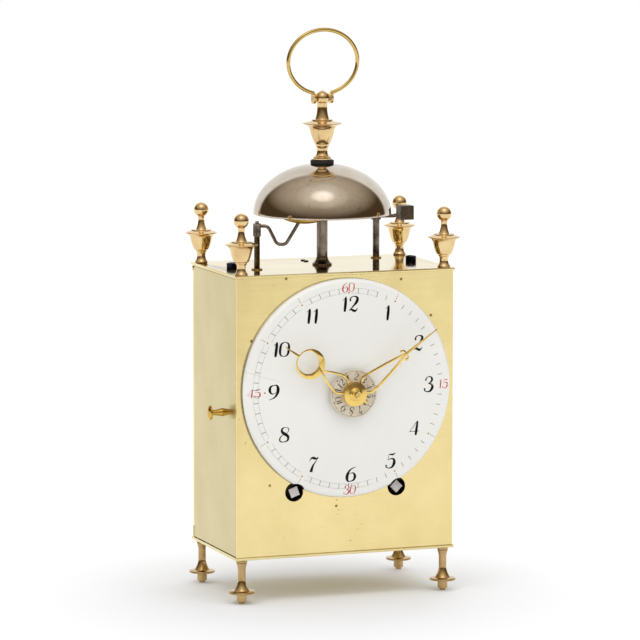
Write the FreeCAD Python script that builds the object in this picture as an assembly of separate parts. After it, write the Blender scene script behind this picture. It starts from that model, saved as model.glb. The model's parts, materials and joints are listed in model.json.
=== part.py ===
"""Capucine clock: brass travelling clock with a bell, a carrying ring, strike and alarm.

Millimetres. X runs to the clock's right as seen from the front, Y to the back, Z up.
The model is laid out about the middle of its case and then moved along Y by CASE_SHIFT,
so that the origin lies on the floor under the middle of the whole clock.
"""
import FreeCAD
import Part
import math
import os

V = FreeCAD.Vector
SIDES = (("left", -1), ("right", 1))
ENDS = (("front", -1), ("back", 1))

# Fits
RUN_GAP = 0.06          # radial play of a pivot or pipe that turns
SEAT_GAP = 0.04         # radial play of a fixed screw or stud in its hole
FREE_GAP = 0.4          # room between pieces that pass each other

# Case
POST_SPAN_X = 112.0     # between the axes of the corner posts
POST_SPAN_Y = 63.7
PLATE_MARGIN_X = 4.6    # plate edge beyond the post axes
PLATE_MARGIN_Y = 4.15
PLATE_T = 1.5
PLATE_ROUND = 0.35      # softened plate edges
CASE_CLEAR = 145.0      # between base plate and top plate
PANEL_INSET = 0.7       # plates stand proud of the panels by this
FRONT_T = 1.5
DOOR_T = 1.2
POST_R = 1.8
POST_STUD_R = 1.4
POST_STUD_DOWN = 9.0    # stud length below the base plate, in the foot
POST_STUD_UP = 7.0      # stud length above the top plate, in the finial

# Foot, heights from the floor upwards
FOOT_TIP_R = 1.6
FOOT_TIP_H = 1.2
FOOT_PEG_R = 2.6
FOOT_PEG_H = 3.4
FOOT_FLANGE_R = 6.95
FOOT_FLANGE_EDGE = 0.4  # width of the flange's round edge
FOOT_FLANGE_RISE = 0.8  # hollow under the flange
FOOT_FLANGE_H = 1.1
FOOT_FLANGE_TOP = 0.3   # rise of its upper face towards the stem
FOOT_FLARE_LOW_R = 4.2  # where the stem spreads on to the flange
FOOT_FLARE_R = 2.8      # on the way from the flange to the stem
FOOT_FLARE_RISE = 2.3
FOOT_FLARE_H = 7.2
FOOT_STEM_R = 2.0
FOOT_STEM_H = 4.0
FOOT_CUP_R = 2.9
FOOT_CUP_H = 3.4
FOOT_GROOVE_R = 2.5
FOOT_GROOVE_H = 0.3
FOOT_CAP_H = 1.3

# Corner finial, heights from the top plate upwards
FINIAL_BASE_R = 3.4
FINIAL_BASE_H = 0.7
FINIAL_WAIST_R = 2.3
FINIAL_WAIST_H = 3.3
FINIAL_BEAD_R = 3.0
FINIAL_BEAD_RISE = 2.0
FINIAL_BEAD_H = 0.5
FINIAL_URN_LOW_R = 3.9
FINIAL_URN_R = 5.7
FINIAL_URN_H = 6.2
FINIAL_DISH_R = 8.35
FINIAL_DISH_RISE = 2.8
FINIAL_DISH_H = 0.45
FINIAL_STEP_R = 5.4
FINIAL_STEP_RISE = 1.0
FINIAL_STEP_H = 0.5
FINIAL_SHOULDER_R = 3.0
FINIAL_NECK_R = 1.75
FINIAL_NECK_H = 7.0
FINIAL_BALL_R = 3.9
FINIAL_TIP_R = 0.7
FINIAL_TIP_H = 3.95     # top of the finial above the middle of its ball

# Curves of all urn finials: shares of the width and of the height passed at the middle of each curve
WAIST_CURVE = (0.25, 0.4)
BEAD_CURVE = (0.2, 0.6)
LIP_CURVE = (0.28, 0.6)
NECK_CURVE = (0.18, 0.4)
URN_CHAMFER = 0.08      # share of the urn's height taken by its lowest edge
URN_BULGE = 0.15        # urn fuller than a straight cone by this

# Side doors and back door
HINGE_ROD_R = 0.9
HINGE_INSET_X = 1.5     # hinge rod axis inside the plate edge
HINGE_INSET_Y = 2.4
KNUCKLE_R = 1.3
KNUCKLE_LOW_H = 5.5
KNUCKLE_TOP_H = 2.5
DOOR_GAP = 0.3          # clearance above, below and beside a door
PINTLE_R = 0.5
KNOB_HEAD_R = 3.75
KNOB_HEAD_T = 1.7
KNOB_NECK_R = 1.25
KNOB_FOOT_R = 2.2
KNOB_STEM = 6.3
KNOB_FLARE = 0.35       # share of the stem's widening kept at half its length
KNOB_FORWARD = 12.6     # knob axis in front of the case middle
KNOB_UP = 0.6           # knob axis above the middle of the doors
BACK_KNOB_IN = 8.0      # back door knob from the free edge

# Dial, hands and alarm disc
ARBOR_UP = 84.5         # hand axis above the base plate
DIAL_RISE = 1.6         # dial centre above the hand axis
DIAL_R = 57.2
DIAL_RIM_H = 2.0
DIAL_DOME_H = 6.0
DIAL_SHOULDER = 2.4     # rounded turn between rim and dome
DIAL_SHOULDER_RISE = 1.8
DIAL_SHOULDER_CURVE = (0.3, 0.5)        # shares of the shoulder's width passed at its middle
DIAL_T = 1.4
DIAL_HOLE_R = 5.0
WINDING_X = 28.4
WINDING_DROP = 51.7     # winding axes below the hand axis
WINDING_HOLE_R = 4.9
SQUARE_SIDE = 4.85
STRIKE_SQUARE_TURN = 45.0
GOING_SQUARE_TURN = 69.5
ALARM_DISC_R = 12.6
ALARM_DISC_T = 1.2
ALARM_DISC_AHEAD = 2.8  # back of the alarm disc ahead of the dial's crown
ALARM_COLLAR_R = 4.4
HOUR_HUB_R = 6.3
HUB_T = 1.0
HAND_T = 0.8
MINUTE_HUB_R = 6.2
COLLET_R = 3.5
COLLET_TIP_R = 2.5
COLLET_H = 2.1
COLLET_CURVE = ((0.95, 0.3), (0.8, 0.45))       # shares of radius and height along its round foot
COLLET_NECK = (0.55, 0.85)      # shares of its height where its tip starts and its edge is broken
COLLET_EDGE = 0.9       # share of its tip's radius left at the top
ARBOR_TIP = 1.3         # centre arbor beyond the collet
HOUR_TURN = 304.6       # degrees clockwise from twelve
MINUTE_TURN = 54.8
HOUR_RING_AT = 29.3
HOUR_RING_R = 7.85
HOUR_EYE_R = 5.95
HOUR_EYE_SHIFT = 1.5
HOUR_REACH = 45.7
HOUR_TAIL = 9.4
HOUR_BLADE_W = 1.4
HOUR_ARM_W = 1.15
MINUTE_CROSS_AT = 33.7
MINUTE_REACH = 55.1
MINUTE_BLADE_W = 1.5
MINUTE_ARM_W = 1.2
HAND_TIP_W = 0.4
LOOP_HALF = 4.7         # half width of a hand's loop, near its hub
LOOP_BACK = 9.1         # widest point of a loop from the hand axis
LOOP_BEND = 2.9         # from there to the start of its straight run
LOOP_DRAW = 0.35        # loop narrower there by this on either side
LOOP_BOW = 0.56         # share of the half width kept half way to the tip
LOOP_BOW_OFF = 1.45     # that place beyond the middle of the run
LOOP_TIP = 0.2          # share of its width by which an arm stands off where the arms meet
SCROLL_R = 0.75
SCROLL_START = (-1.0, 0.4)      # along and across, in scroll radii from where the arms meet
SCROLL_BEND = (1.0, 2.2)
SCROLL_END = (-1.2, 3.4)
CENTRE_FRONT_R = 1.3
CANNON_R = 2.2
HOUR_PIPE_R = 3.4

# Bell, its standard and the handle
BELL_R = 36.2
BELL_H = 26.6
BELL_FLAT = 0.5         # crown ground flat by this much
BELL_T = 1.5
BELL_RIM_UP = 26.9      # bell rim above the top plate
STANDARD_R = 2.9
STANDARD_FOOT_R = 5.2
STANDARD_FOOT_H = 5.0
STANDARD_FOOT_EDGE = 0.8
STANDARD_STUD_R = 2.0
STANDARD_STUD_UP = 7.5
WASHER_R = 6.2
WASHER_H = 2.2
HANDLE_BASE_R = 4.8
HANDLE_BASE_H = 1.4
HANDLE_WAIST_R = 2.9
HANDLE_WAIST_H = 3.0
HANDLE_BEAD_R = 3.7
HANDLE_BEAD_RISE = 3.0
HANDLE_BEAD_H = 0.8
HANDLE_URN_LOW_R = 4.2
HANDLE_URN_R = 6.4
HANDLE_URN_H = 7.2
HANDLE_DISH_R = 10.4
HANDLE_DISH_RISE = 3.4
HANDLE_DISH_H = 0.5
HANDLE_STEP_R = 5.6
HANDLE_STEP_RISE = 1.2
HANDLE_STEP_H = 0.6
HANDLE_SHOULDER_R = 3.9
HANDLE_NECK_R = 2.8
HANDLE_NECK_H = 8.6
HANDLE_BALL_R = 3.8
HANDLE_TIP_R = 1.7
HANDLE_TIP_H = 4.3
TOMMY_HOLE_R = 0.68
RING_HALF_W = 19.2      # to the middle of the wire
RING_HALF_H = 16.8
RING_WIRE_R = 1.05
RING_RISE = 19.0        # middle of the ring from its pin
RING_EYE_R = 2.9
RING_EYE_T = 1.2
RING_PIN_R = 1.2
RING_PIN_END = 0.15     # pin beyond the eyes
RING_LEAN = 3.0         # degrees forward

# Hammers
ALARM_IN = 16.2         # alarm arbor from the left posts
ALARM_FORWARD = 10.15
ALARM_POST_R = 1.55
ALARM_COLLAR_UP = 17.4  # collar above the top plate
ALARM_COLLAR_H = 6.6
ALARM_HUB_R = 2.05
ALARM_PIN_R = 1.0
ALARM_PIN_H = 1.2
ALARM_WIRE_R = 0.88
ALARM_WIRE_BEND = 3.0
# Corners of the alarm wire: share of the way from the arbor to the head, and height above the top plate
ALARM_WIRE_CORNERS = ((0.0, 22.7), (0.24, 22.8), (0.44, 13.4), (0.63, 13.4), (0.919, 25.0))
ALARM_HEAD_ROUND = 229.2        # degrees from X about the bell's axis
ALARM_HEAD_INSET = 7.13 # head's middle inside the bell's rim
ALARM_HEAD_UP = 27.0
ALARM_HEAD_TURN = -40.9
ALARM_HEAD_L = 20.0
ALARM_HEAD_R = 2.7
ALARM_HEAD_END_R = 1.0
STRIKE_IN = 17.4        # strike arbor from the right posts
STRIKE_BEHIND = 3.6     # strike arbor behind the movement
STRIKE_POST_R = 1.8
STRIKE_POST_UP = 24.0
STRIKE_HUB_R = 2.6
STRIKE_HUB_H = 3.5
STRIKE_ARM_R = 1.0
STRIKE_ARM_BEND = 4.0
STRIKE_ARM_UP = 22.3
STRIKE_HEAD_OFF = 10.4  # head's middle beyond the bell's rim
# Places on the arm, counted beyond the bell's rim, back from the middle and up from the top plate
STRIKE_ARM_KNEE = (7.8, 10.0, 23.3)
STRIKE_ARM_END = (STRIKE_HEAD_OFF, 2.0, 25.5)
STRIKE_HEAD_UP = 26.0
STRIKE_HEAD = 7.4
STRIKE_HEAD_CHAMFER = 2.2
BUSH_R = 2.9
BUSH_WALL = 0.5
BUSH_H = 0.6
HAMMER_PIVOT_R = 1.0
COCK_T = 2.5
COCK_HALF = 3.2
STRIKE_POST_FOOT = 73.5 # lower end of the strike arbor above the base plate
STRIKE_TAIL = (-4.7, -8.6)      # end of the tail from its arbor
STRIKE_TAIL_W = 1.6
STRIKE_TAIL_H = 1.4
TAIL_SLOT_HALF = 6.0

# Screws
PLATE_SCREW_IN = 3.0    # screw axes from the sides of the movement
PLATE_SCREW_R = 2.8
PLATE_SCREW_H = 3.2
PLATE_SCREW_EDGE = 0.5
PLATE_SCREW_SLOT = 0.9
PLATE_SCREW_SLOT_H = 1.0
PLATE_SCREW_TURN = 35.0
PLATE_SCREW_SHANK_R = 1.5
PLATE_SCREW_GRIP = 5.0
COCK_SCREW_AT = ((-2.5, 22.0), (-2.5, 17.6))
COCK_SCREW_R = 1.3
COCK_SCREW_H = 0.5
COCK_SCREW_SHANK_R = 0.9

# Movement
MOVEMENT_DEPTH = 36.0   # over both plates, centred in the case
MOVEMENT_PLATE_T = 2.0
MOVEMENT_SIDE = 5.7     # room between the movement and the doors
MOVEMENT_INSET = 2.7    # movement plates short of base plate and top plate
PILLAR_R = 3.0
PILLAR_SWELL = 0.6
PILLAR_INSET = 6.0      # pillar axes from base plate and top plate
PILLAR_BOSS_R = 3.2
TENON_R = 2.0
PIVOT_R = 0.7
STAFF_R = 1.05
WHEEL_T = 1.3
WHEEL_RIM = 2.0         # rim width inside the tooth roots
SPOKES = 4
SPOKE_W = 2.2
WHEEL_HUB_R = 4.2
PINION_OVER = 0.4       # pinion beyond its wheel at either end
TOOTH_TIP = 0.7         # in modules, beyond the pitch line
TOOTH_ROOT = 1.25
TOOTH_SHARE = 0.34      # of the pitch, at the pitch line
TOOTH_TAPER = 0.5       # tip width to pitch width

# Springs, barrels and winding work
BARREL_TEETH = 72
BARREL_MODULE = 0.8
BARREL_WHEEL_T = 2.4
BARREL_INSET = 4.0      # barrel ends from the movement plates
BARREL_R = 23.5
BARREL_T = 1.2
BARREL_ARBOR_R = 3.0
BARREL_PIVOT_R = 2.4
SPRING_T = 0.45
SPRING_STEP = 2.4       # from one coil to the next
SPRING_TURNS = 7
SPRING_GAP = 0.1
RATCHET_TEETH = 24
RATCHET_R = 9.0
RATCHET_DEPTH = 1.1
RATCHET_T = 1.9
RATCHET_LEAN = 0.12     # of the tooth pitch, from a tip to the next root
RATCHET_OFF = 0.6       # ratchet ahead of the movement
CLICK_REACH = 16.0      # click stud from the winding axis
CLICK_TURN = 60.0       # direction of the click stud
CLICK_BACK = 40.0       # degrees from the stud back to the click's tip
CLICK_W = 1.6
CLICK_R = 2.0

# Going train
SECOND_LEAVES = 8
SECOND_TEETH = 80
SECOND_MODULE = 0.61
SECOND_INSET = 0.8      # wheels nearest to a movement plate, from that plate
CENTRE_LEAVES = 10
CENTRE_TEETH = 90
CENTRE_MODULE = 0.44
CENTRE_BACK = 14.0      # wheel fronts ahead of the back movement plate
THIRD_LEAVES = 8
THIRD_TEETH = 80
THIRD_MODULE = 0.4
THIRD_TURN = 125.0      # direction of the third arbor from the centre, degrees from X
THIRD_BACK = 8.0
ESCAPE_LEAVES = 8
ESCAPE_TEETH = 50
ESCAPE_R = 12.0
ESCAPE_DEPTH = 1.5
ESCAPE_LEAN = 0.35      # of the tooth pitch, forward lean of a tooth tip
ESCAPE_BACK = 4.0
PALLET_UP = 16.5
PALLET_CLEAR = 1.4      # pallet tips outside the wheel, with the pendulum upright
PALLET_HUB_R = 3.0
PALLET_ARM_W = 2.2
PALLET_TURN = 45.0      # direction of the pallets from the escape arbor, above the level
PALLET_KNEE = 1.6       # rise of a pallet, in arm widths
PENDULUM_L = 98.0       # pallet arbor to the middle of the bob
PENDULUM_OFF = 6.0      # rod behind the movement
PENDULUM_HUB_R = 2.8
PENDULUM_HUB_L = 4.0
PENDULUM_ROD_R = 0.9
BOB_R = 13.0
BOB_T = 6.0
BOB_EDGE = 1.0
NUT_R = 2.4
NUT_H = 2.5
BACK_COCK_T = 2.0
BACK_COCK_HALF = 5.0
BACK_COCK_REACH = 13.0  # leaf beyond the movement
BACK_COCK_DROP = 3.5    # leg below the pallet arbor

# Strike train
STRIKE_SECOND_LEAVES = 8
STRIKE_SECOND_TEETH = 72
STRIKE_SECOND_MODULE = 0.5
STRIKE_SECOND_CLEAR = 3.65     # wheel from the right door
PIN_LEAVES = 12
PIN_TEETH = 64
PIN_MODULE = 0.45
PIN_TURN = 100.0
PIN_BACK = 6.0
PIN_COUNT = 6
PIN_CIRCLE_R = 11.5
PIN_R = 0.6
PIN_L = 2.0
WARNING_LEAVES = 8
WARNING_TEETH = 56
WARNING_MODULE = 0.4
WARNING_TURN = 80.0
WARNING_BACK = 12.0
FLY_LEAVES = 8
FLY_TURN = 95.0
FLY_R = 9.0
FLY_T = 0.6
FLY_INSET = 4.0

# Motion work
CANNON_TEETH = 12
MINUTE_WHEEL_TEETH = 36
MOTION_MODULE = 0.5
MINUTE_WHEEL_LEAVES = 10
HOUR_TEETH = 40
MINUTE_STUD_TURN = 210.0
MINUTE_STUD_R = 1.2
MOTION_OFF = 2.6        # minute wheel ahead of the movement
HOUR_WHEEL_OFF = 6.2

# Alarm work
ALARM_WHEEL_UP = 46.0   # alarm wheel above the hand axis
ALARM_DRUM_R = 8.5
ALARM_DRUM_INSET = 4.0
ALARM_DRUM_L = 10.0
ALARM_SQUARE = 2.6
ALARM_SQUARE_L = 6.0
CROWN_R = 6.0
CROWN_WALL = 1.2
CROWN_TEETH = 13
CROWN_H = 3.6
CROWN_DEPTH = 1.8
CROWN_WEB = 1.0
CROWN_NOTCH = 0.9       # of the tooth pitch, width of a notch
VERGE_REACH = 2.2
VERGE_W = 2.0
VERGE_T = 0.8
VERGE_TURNS = (45.0, 135.0)     # directions of the upper and lower flag
VERGE_CLEAR = 0.5       # crown wheel's tips behind the swing of the flags
ALARM_POST_DROP = 15.5  # lower end of the alarm arbor below its wheel
ALARM_COCK_X = 11.2     # leg of the alarm wheel's cock beside its axis

# Places worked out from the sizes above
STRIKE_AT = (POST_SPAN_X / 2 - STRIKE_IN, MOVEMENT_DEPTH / 2 + STRIKE_BEHIND)
STRIKE_HEAD_AT = (BELL_R + STRIKE_HEAD_OFF, 0.0)
STRIKE_TAIL_AT = (STRIKE_AT[0] + STRIKE_TAIL[0], STRIKE_AT[1] + STRIKE_TAIL[1])
PLATE_X = POST_SPAN_X / 2 + PLATE_MARGIN_X
PLATE_Y = POST_SPAN_Y / 2 + PLATE_MARGIN_Y
PANEL_X = PLATE_X - PANEL_INSET
PANEL_Y = PLATE_Y - PANEL_INSET
MOVEMENT_HALF_W = PANEL_X - DOOR_T - MOVEMENT_SIDE
PLATE_SCREW_X = MOVEMENT_HALF_W - PLATE_SCREW_IN
FOOT_FLANGE_Z = FOOT_TIP_H + FOOT_PEG_H
FOOT_FLARE_Z = FOOT_FLANGE_Z + FOOT_FLANGE_RISE + FOOT_FLANGE_H + FOOT_FLANGE_TOP
FOOT_STEM_Z = FOOT_FLARE_Z + FOOT_FLARE_H
FOOT_CUP_Z = FOOT_STEM_Z + FOOT_STEM_H
FOOT_GROOVE_Z = FOOT_CUP_Z + FOOT_CUP_H
BASE_Z = FOOT_GROOVE_Z + FOOT_GROOVE_H + FOOT_CAP_H
FLOOR_Z = BASE_Z + PLATE_T
CEILING_Z = FLOOR_Z + CASE_CLEAR
DECK_Z = CEILING_Z + PLATE_T
FRONT_BACK = -PANEL_Y + FRONT_T
HINGE_X = PLATE_X - HINGE_INSET_X
HINGE_Y = PLATE_Y - HINGE_INSET_Y
BACK_DOOR_X = HINGE_X - KNUCKLE_R - FREE_GAP
BACK_DOOR_Y = PANEL_Y - DOOR_T
KNOB_Z = (FLOOR_Z + CEILING_Z) / 2 + KNOB_UP
KNOB_REACH = KNOB_STEM + KNOB_HEAD_T
ARBOR_Z = FLOOR_Z + ARBOR_UP
DIAL_Z = ARBOR_Z + DIAL_RISE
DIAL_CROWN_Y = -PANEL_Y - DIAL_RIM_H - DIAL_DOME_H
WINDING_Z = ARBOR_Z - WINDING_DROP
ALARM_DISC_Y = DIAL_CROWN_Y - ALARM_DISC_AHEAD
HOUR_HUB_Y = ALARM_DISC_Y - ALARM_DISC_T - FREE_GAP
MINUTE_HUB_Y = HOUR_HUB_Y - HUB_T - FREE_GAP
COLLET_Y = MINUTE_HUB_Y - HUB_T
HAND_TIP_Y = COLLET_Y - COLLET_H - ARBOR_TIP
CASE_SHIFT = (-HAND_TIP_Y - PANEL_Y - KNOB_REACH) / 2
BELL_RIM_Z = DECK_Z + BELL_RIM_UP
BELL_TOP_Z = BELL_RIM_Z + BELL_H - BELL_FLAT
WASHER_TOP_Z = BELL_TOP_Z + WASHER_H
PLATES_LOW_Z = FLOOR_Z + MOVEMENT_INSET
PLATES_TOP_Z = CEILING_Z - MOVEMENT_INSET
MOVEMENT_FRONT = -MOVEMENT_DEPTH / 2
MOVEMENT_BACK = MOVEMENT_DEPTH / 2
TRAIN_FRONT = MOVEMENT_FRONT + MOVEMENT_PLATE_T
TRAIN_BACK = MOVEMENT_BACK - MOVEMENT_PLATE_T


def flat(point):
    """A (radius, height) point of a turned outline, in the XZ plane."""
    return V(point[0], 0, point[1])


def edge_chain(points):
    """Closed chain of edges; a step is an end point, or a (middle, end) pair for an arc."""
    edges = []
    here = points[0]
    for step in list(points[1:]) + [points[0]]:
        if isinstance(step[0], tuple):
            middle, end = step
            edges.append(Part.Arc(flat(here), flat(middle), flat(end)).toShape())
        else:
            end = step
            if (flat(end) - flat(here)).Length > 1e-7:
                edges.append(Part.LineSegment(flat(here), flat(end)).toShape())
        here = end
    return edges


def turned(*points):
    """Solid of revolution about Z from a closed (radius, height) outline."""
    face = Part.Face(Part.Wire(edge_chain(points)))
    return face.revolve(V(0, 0, 0), V(0, 0, 1), 360)


def cap(radius, low, rise):
    """Arc step of an outline: round cap from a given radius and height to the axis."""
    sphere = (radius ** 2 + rise ** 2) / (2 * rise)
    half = math.atan2(radius, sphere - rise) / 2
    middle = low + rise - sphere
    return ((sphere * math.sin(half), middle + sphere * math.cos(half)), (0, low + rise))


def along_y(shape, x=0, z=0, y=0):
    """Lay a piece that was turned about Z along +Y, through (x, y, z)."""
    shape.rotate(V(0, 0, 0), V(1, 0, 0), -90)
    shape.translate(V(x, y, z))
    return shape


def plate_from(points, y0, y1):
    """Flat piece with an outline in the XZ plane, between two depths."""
    face = Part.Face(Part.Wire(edge_chain(points)))
    face.translate(V(0, y0, 0))
    return face.extrude(V(0, y1 - y0, 0))


def block(x0, x1, y0, y1, z0, z1):
    return Part.makeBox(x1 - x0, y1 - y0, z1 - z0, V(x0, y0, z0))


def rod(radius, start, end):
    return Part.makeCylinder(radius, (end - start).Length, start, end - start)


def rod_y(radius, x, z, y0, y1):
    return rod(radius, V(x, y0, z), V(x, y1, z))


def rod_z(radius, x, y, z0, z1):
    return rod(radius, V(x, y, z0), V(x, y, z1))


def fused(first, *others):
    return first.fuse(list(others)).removeSplitter()


def cut(shape, *tools):
    return shape.cut(list(tools))


def post_places():
    """Name, x and y of the four corner posts."""
    return [(f"{end}_{side}", sx * POST_SPAN_X / 2, sy * POST_SPAN_Y / 2)
            for end, sy in ENDS for side, sx in SIDES]


def polar(x, z, reach, degrees):
    turn = math.radians(degrees)
    return (x + reach * math.cos(turn), z + reach * math.sin(turn))


def meeting(first, second, reach_first, reach_second, side):
    """Point at two given distances from two others, on one side of their line."""
    dx = second[0] - first[0]
    dz = second[1] - first[1]
    apart = math.hypot(dx, dz)
    along = (reach_first ** 2 - reach_second ** 2 + apart ** 2) / (2 * apart)
    off = side * math.sqrt(reach_first ** 2 - along ** 2)
    return (first[0] + (along * dx - off * dz) / apart, first[1] + (along * dz + off * dx) / apart)


# Train places: (x, z) of each arbor, and centre distances from tooth counts
def centre_distance(module, teeth, leaves):
    return module * (teeth + leaves) / 2


CENTRE_AT = (0.0, ARBOR_Z)
GOING_BARREL_AT = (-WINDING_X, WINDING_Z)
STRIKE_BARREL_AT = (WINDING_X, WINDING_Z)
SECOND_AT = meeting(GOING_BARREL_AT, CENTRE_AT,
                    centre_distance(BARREL_MODULE, BARREL_TEETH, SECOND_LEAVES),
                    centre_distance(SECOND_MODULE, SECOND_TEETH, CENTRE_LEAVES), 1)
THIRD_AT = polar(*CENTRE_AT, centre_distance(CENTRE_MODULE, CENTRE_TEETH, THIRD_LEAVES), THIRD_TURN)
ESCAPE_AT = (0.0, THIRD_AT[1] + math.sqrt(
    centre_distance(THIRD_MODULE, THIRD_TEETH, ESCAPE_LEAVES) ** 2 - THIRD_AT[0] ** 2))
PALLET_AT = (0.0, ESCAPE_AT[1] + PALLET_UP)
STRIKE_SECOND_X = (PANEL_X - DOOR_T - STRIKE_SECOND_CLEAR
                   - STRIKE_SECOND_MODULE * (STRIKE_SECOND_TEETH / 2 + TOOTH_TIP))
STRIKE_SECOND_REACH = centre_distance(BARREL_MODULE, BARREL_TEETH, STRIKE_SECOND_LEAVES)
STRIKE_SECOND_RISE = math.sqrt(STRIKE_SECOND_REACH ** 2 - (STRIKE_SECOND_X - WINDING_X) ** 2)
STRIKE_SECOND_AT = (STRIKE_SECOND_X, WINDING_Z + STRIKE_SECOND_RISE)
PIN_AT = polar(*STRIKE_SECOND_AT,
               centre_distance(STRIKE_SECOND_MODULE, STRIKE_SECOND_TEETH, PIN_LEAVES), PIN_TURN)
WARNING_AT = polar(*PIN_AT, centre_distance(PIN_MODULE, PIN_TEETH, WARNING_LEAVES), WARNING_TURN)
FLY_AT = polar(*WARNING_AT, centre_distance(WARNING_MODULE, WARNING_TEETH, FLY_LEAVES), FLY_TURN)
MOTION_REACH = centre_distance(MOTION_MODULE, CANNON_TEETH, MINUTE_WHEEL_TEETH)
HOUR_MODULE = 2 * MOTION_REACH / (MINUTE_WHEEL_LEAVES + HOUR_TEETH)
MINUTE_STUD_AT = polar(*CENTRE_AT, MOTION_REACH, MINUTE_STUD_TURN)
ALARM_HEAD_AT = polar(0, 0, BELL_R - ALARM_HEAD_INSET, ALARM_HEAD_ROUND)
ALARM_AT = (ALARM_IN - POST_SPAN_X / 2, -ALARM_FORWARD)
ALARM_WHEEL_AT = (ALARM_AT[0], ARBOR_Z + ALARM_WHEEL_UP)

# Depths of the wheels
GOING_GREAT_Y = TRAIN_FRONT + BARREL_INSET
STRIKE_GREAT_Y = TRAIN_BACK - BARREL_INSET - BARREL_WHEEL_T
SECOND_WHEEL_Y = TRAIN_FRONT + SECOND_INSET
CENTRE_WHEEL_Y = TRAIN_BACK - CENTRE_BACK
THIRD_WHEEL_Y = TRAIN_BACK - THIRD_BACK
ESCAPE_WHEEL_Y = TRAIN_BACK - ESCAPE_BACK
STRIKE_SECOND_Y = TRAIN_BACK - SECOND_INSET - WHEEL_T
PIN_WHEEL_Y = TRAIN_BACK - PIN_BACK
WARNING_WHEEL_Y = TRAIN_BACK - WARNING_BACK
MINUTE_WHEEL_Y = MOVEMENT_FRONT - MOTION_OFF - WHEEL_T
HOUR_WHEEL_Y = MOVEMENT_FRONT - HOUR_WHEEL_OFF - WHEEL_T
RATCHET_Y = MOVEMENT_FRONT - RATCHET_OFF - RATCHET_T
PENDULUM_Y = MOVEMENT_BACK + PENDULUM_OFF
BACK_COCK_Y = MOVEMENT_BACK + BACK_COCK_REACH - BACK_COCK_T
CROWN_TIP_Y = ALARM_AT[1] + VERGE_REACH + VERGE_CLEAR
ALARM_DRUM_Y = TRAIN_BACK - ALARM_DRUM_INSET - ALARM_DRUM_L
ALARM_COCK_Y = CROWN_TIP_Y + CROWN_H + FREE_GAP
ALARM_POST_LOW = ALARM_WHEEL_AT[1] - ALARM_POST_DROP
STRIKE_POST_LOW = FLOOR_Z + STRIKE_POST_FOOT
STRIKE_TAIL_Z = PIN_AT[1] + PIN_CIRCLE_R + PIN_R + FREE_GAP


def line_angle(first, second):
    return math.atan2(second[1] - first[1], second[0] - first[0])


def mesh_phase(first_at, first_teeth, first_phase, second_at, second_teeth):
    """Turn of the second gear that sets its teeth between those of the first."""
    angle = line_angle(first_at, second_at)
    first_pitch = 2 * math.pi / first_teeth
    second_pitch = 2 * math.pi / second_teeth
    share = (angle - first_phase) / first_pitch
    return angle + math.pi - second_pitch * (0.5 - share)


def tooth_points(at, teeth, module, phase):
    """Outline of straight-sided teeth round a centre."""
    pitch_r = module * teeth / 2
    tip_r = pitch_r + TOOTH_TIP * module
    root_r = pitch_r - TOOTH_ROOT * module
    half = math.pi * TOOTH_SHARE / teeth
    slope = half * (1 - TOOTH_TAPER) / TOOTH_TIP
    tip_half = half * TOOTH_TAPER
    root_half = half + slope * TOOTH_ROOT
    points = []
    for tooth in range(teeth):
        middle = phase + 2 * math.pi * tooth / teeth
        for reach, offset in ((root_r, -root_half), (tip_r, -tip_half),
                              (tip_r, tip_half), (root_r, root_half)):
            points.append((at[0] + reach * math.cos(middle + offset),
                           at[1] + reach * math.sin(middle + offset)))
    return points


def crossing(at, inner_r, outer_r, start, end):
    """One opening between two spokes, as a wire in the XZ plane."""
    half_in = math.asin(SPOKE_W / 2 / inner_r)
    half_out = math.asin(SPOKE_W / 2 / outer_r)
    middle = (start + end) / 2

    def on(reach, angle):
        return (at[0] + reach * math.cos(angle), at[1] + reach * math.sin(angle))

    return Part.Wire(edge_chain([
        on(inner_r, start + half_in), on(outer_r, start + half_out),
        (on(outer_r, middle), on(outer_r, end - half_out)), on(inner_r, end - half_in),
        (on(inner_r, middle), on(inner_r, start + half_in))]))


def pierced(points, holes, y0, thickness):
    """Flat piece with an outline and inner openings, from a given depth backwards."""
    face = Part.makeFace([Part.Wire(edge_chain(points))] + holes, "Part::FaceMakerBullseye")
    face.translate(V(0, y0, 0))
    return face.extrude(V(0, thickness, 0))


def wheel(at, teeth, module, phase, y0, thickness):
    """Crossed-out wheel with a solid hub."""
    rim_r = module * teeth / 2 - TOOTH_ROOT * module - WHEEL_RIM
    holes = []
    if rim_r > WHEEL_HUB_R + SPOKE_W:
        step = 2 * math.pi / SPOKES
        holes = [crossing(at, WHEEL_HUB_R, rim_r, step * k, step * (k + 1)) for k in range(SPOKES)]
    return pierced(tooth_points(at, teeth, module, phase), holes, y0, thickness)


def pinion(at, leaves, module, phase, mate_y, mate_t):
    """Pinion that reaches a little past the wheel it meets, on both sides."""
    points = tooth_points(at, leaves, module, phase)
    return plate_from(points, mate_y - PINION_OVER, mate_y + mate_t + PINION_OVER)


def staff(at, front_end=MOVEMENT_FRONT, front_r=PIVOT_R, back_end=MOVEMENT_BACK):
    """Turned arbor with a pivot in each movement plate."""
    shoulder_front = TRAIN_FRONT + FREE_GAP
    shoulder_back = TRAIN_BACK - FREE_GAP
    return along_y(turned(
        (0, front_end), (front_r, front_end), (front_r, shoulder_front), (STAFF_R, shoulder_front),
        (STAFF_R, shoulder_back), (PIVOT_R, shoulder_back), (PIVOT_R, back_end), (0, back_end)),
        at[0], at[1])


def train_piece(at, teeth, module, wheel_y, leaves, leaf_module, leaf_phase, mate_y, mate_t, arbor):
    """Wheel and pinion on one arbor."""
    disc = wheel(at, teeth, module, 0, wheel_y, WHEEL_T)
    leaf = pinion(at, leaves, leaf_module, leaf_phase, mate_y, mate_t)
    return fused(arbor, disc, leaf)


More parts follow.
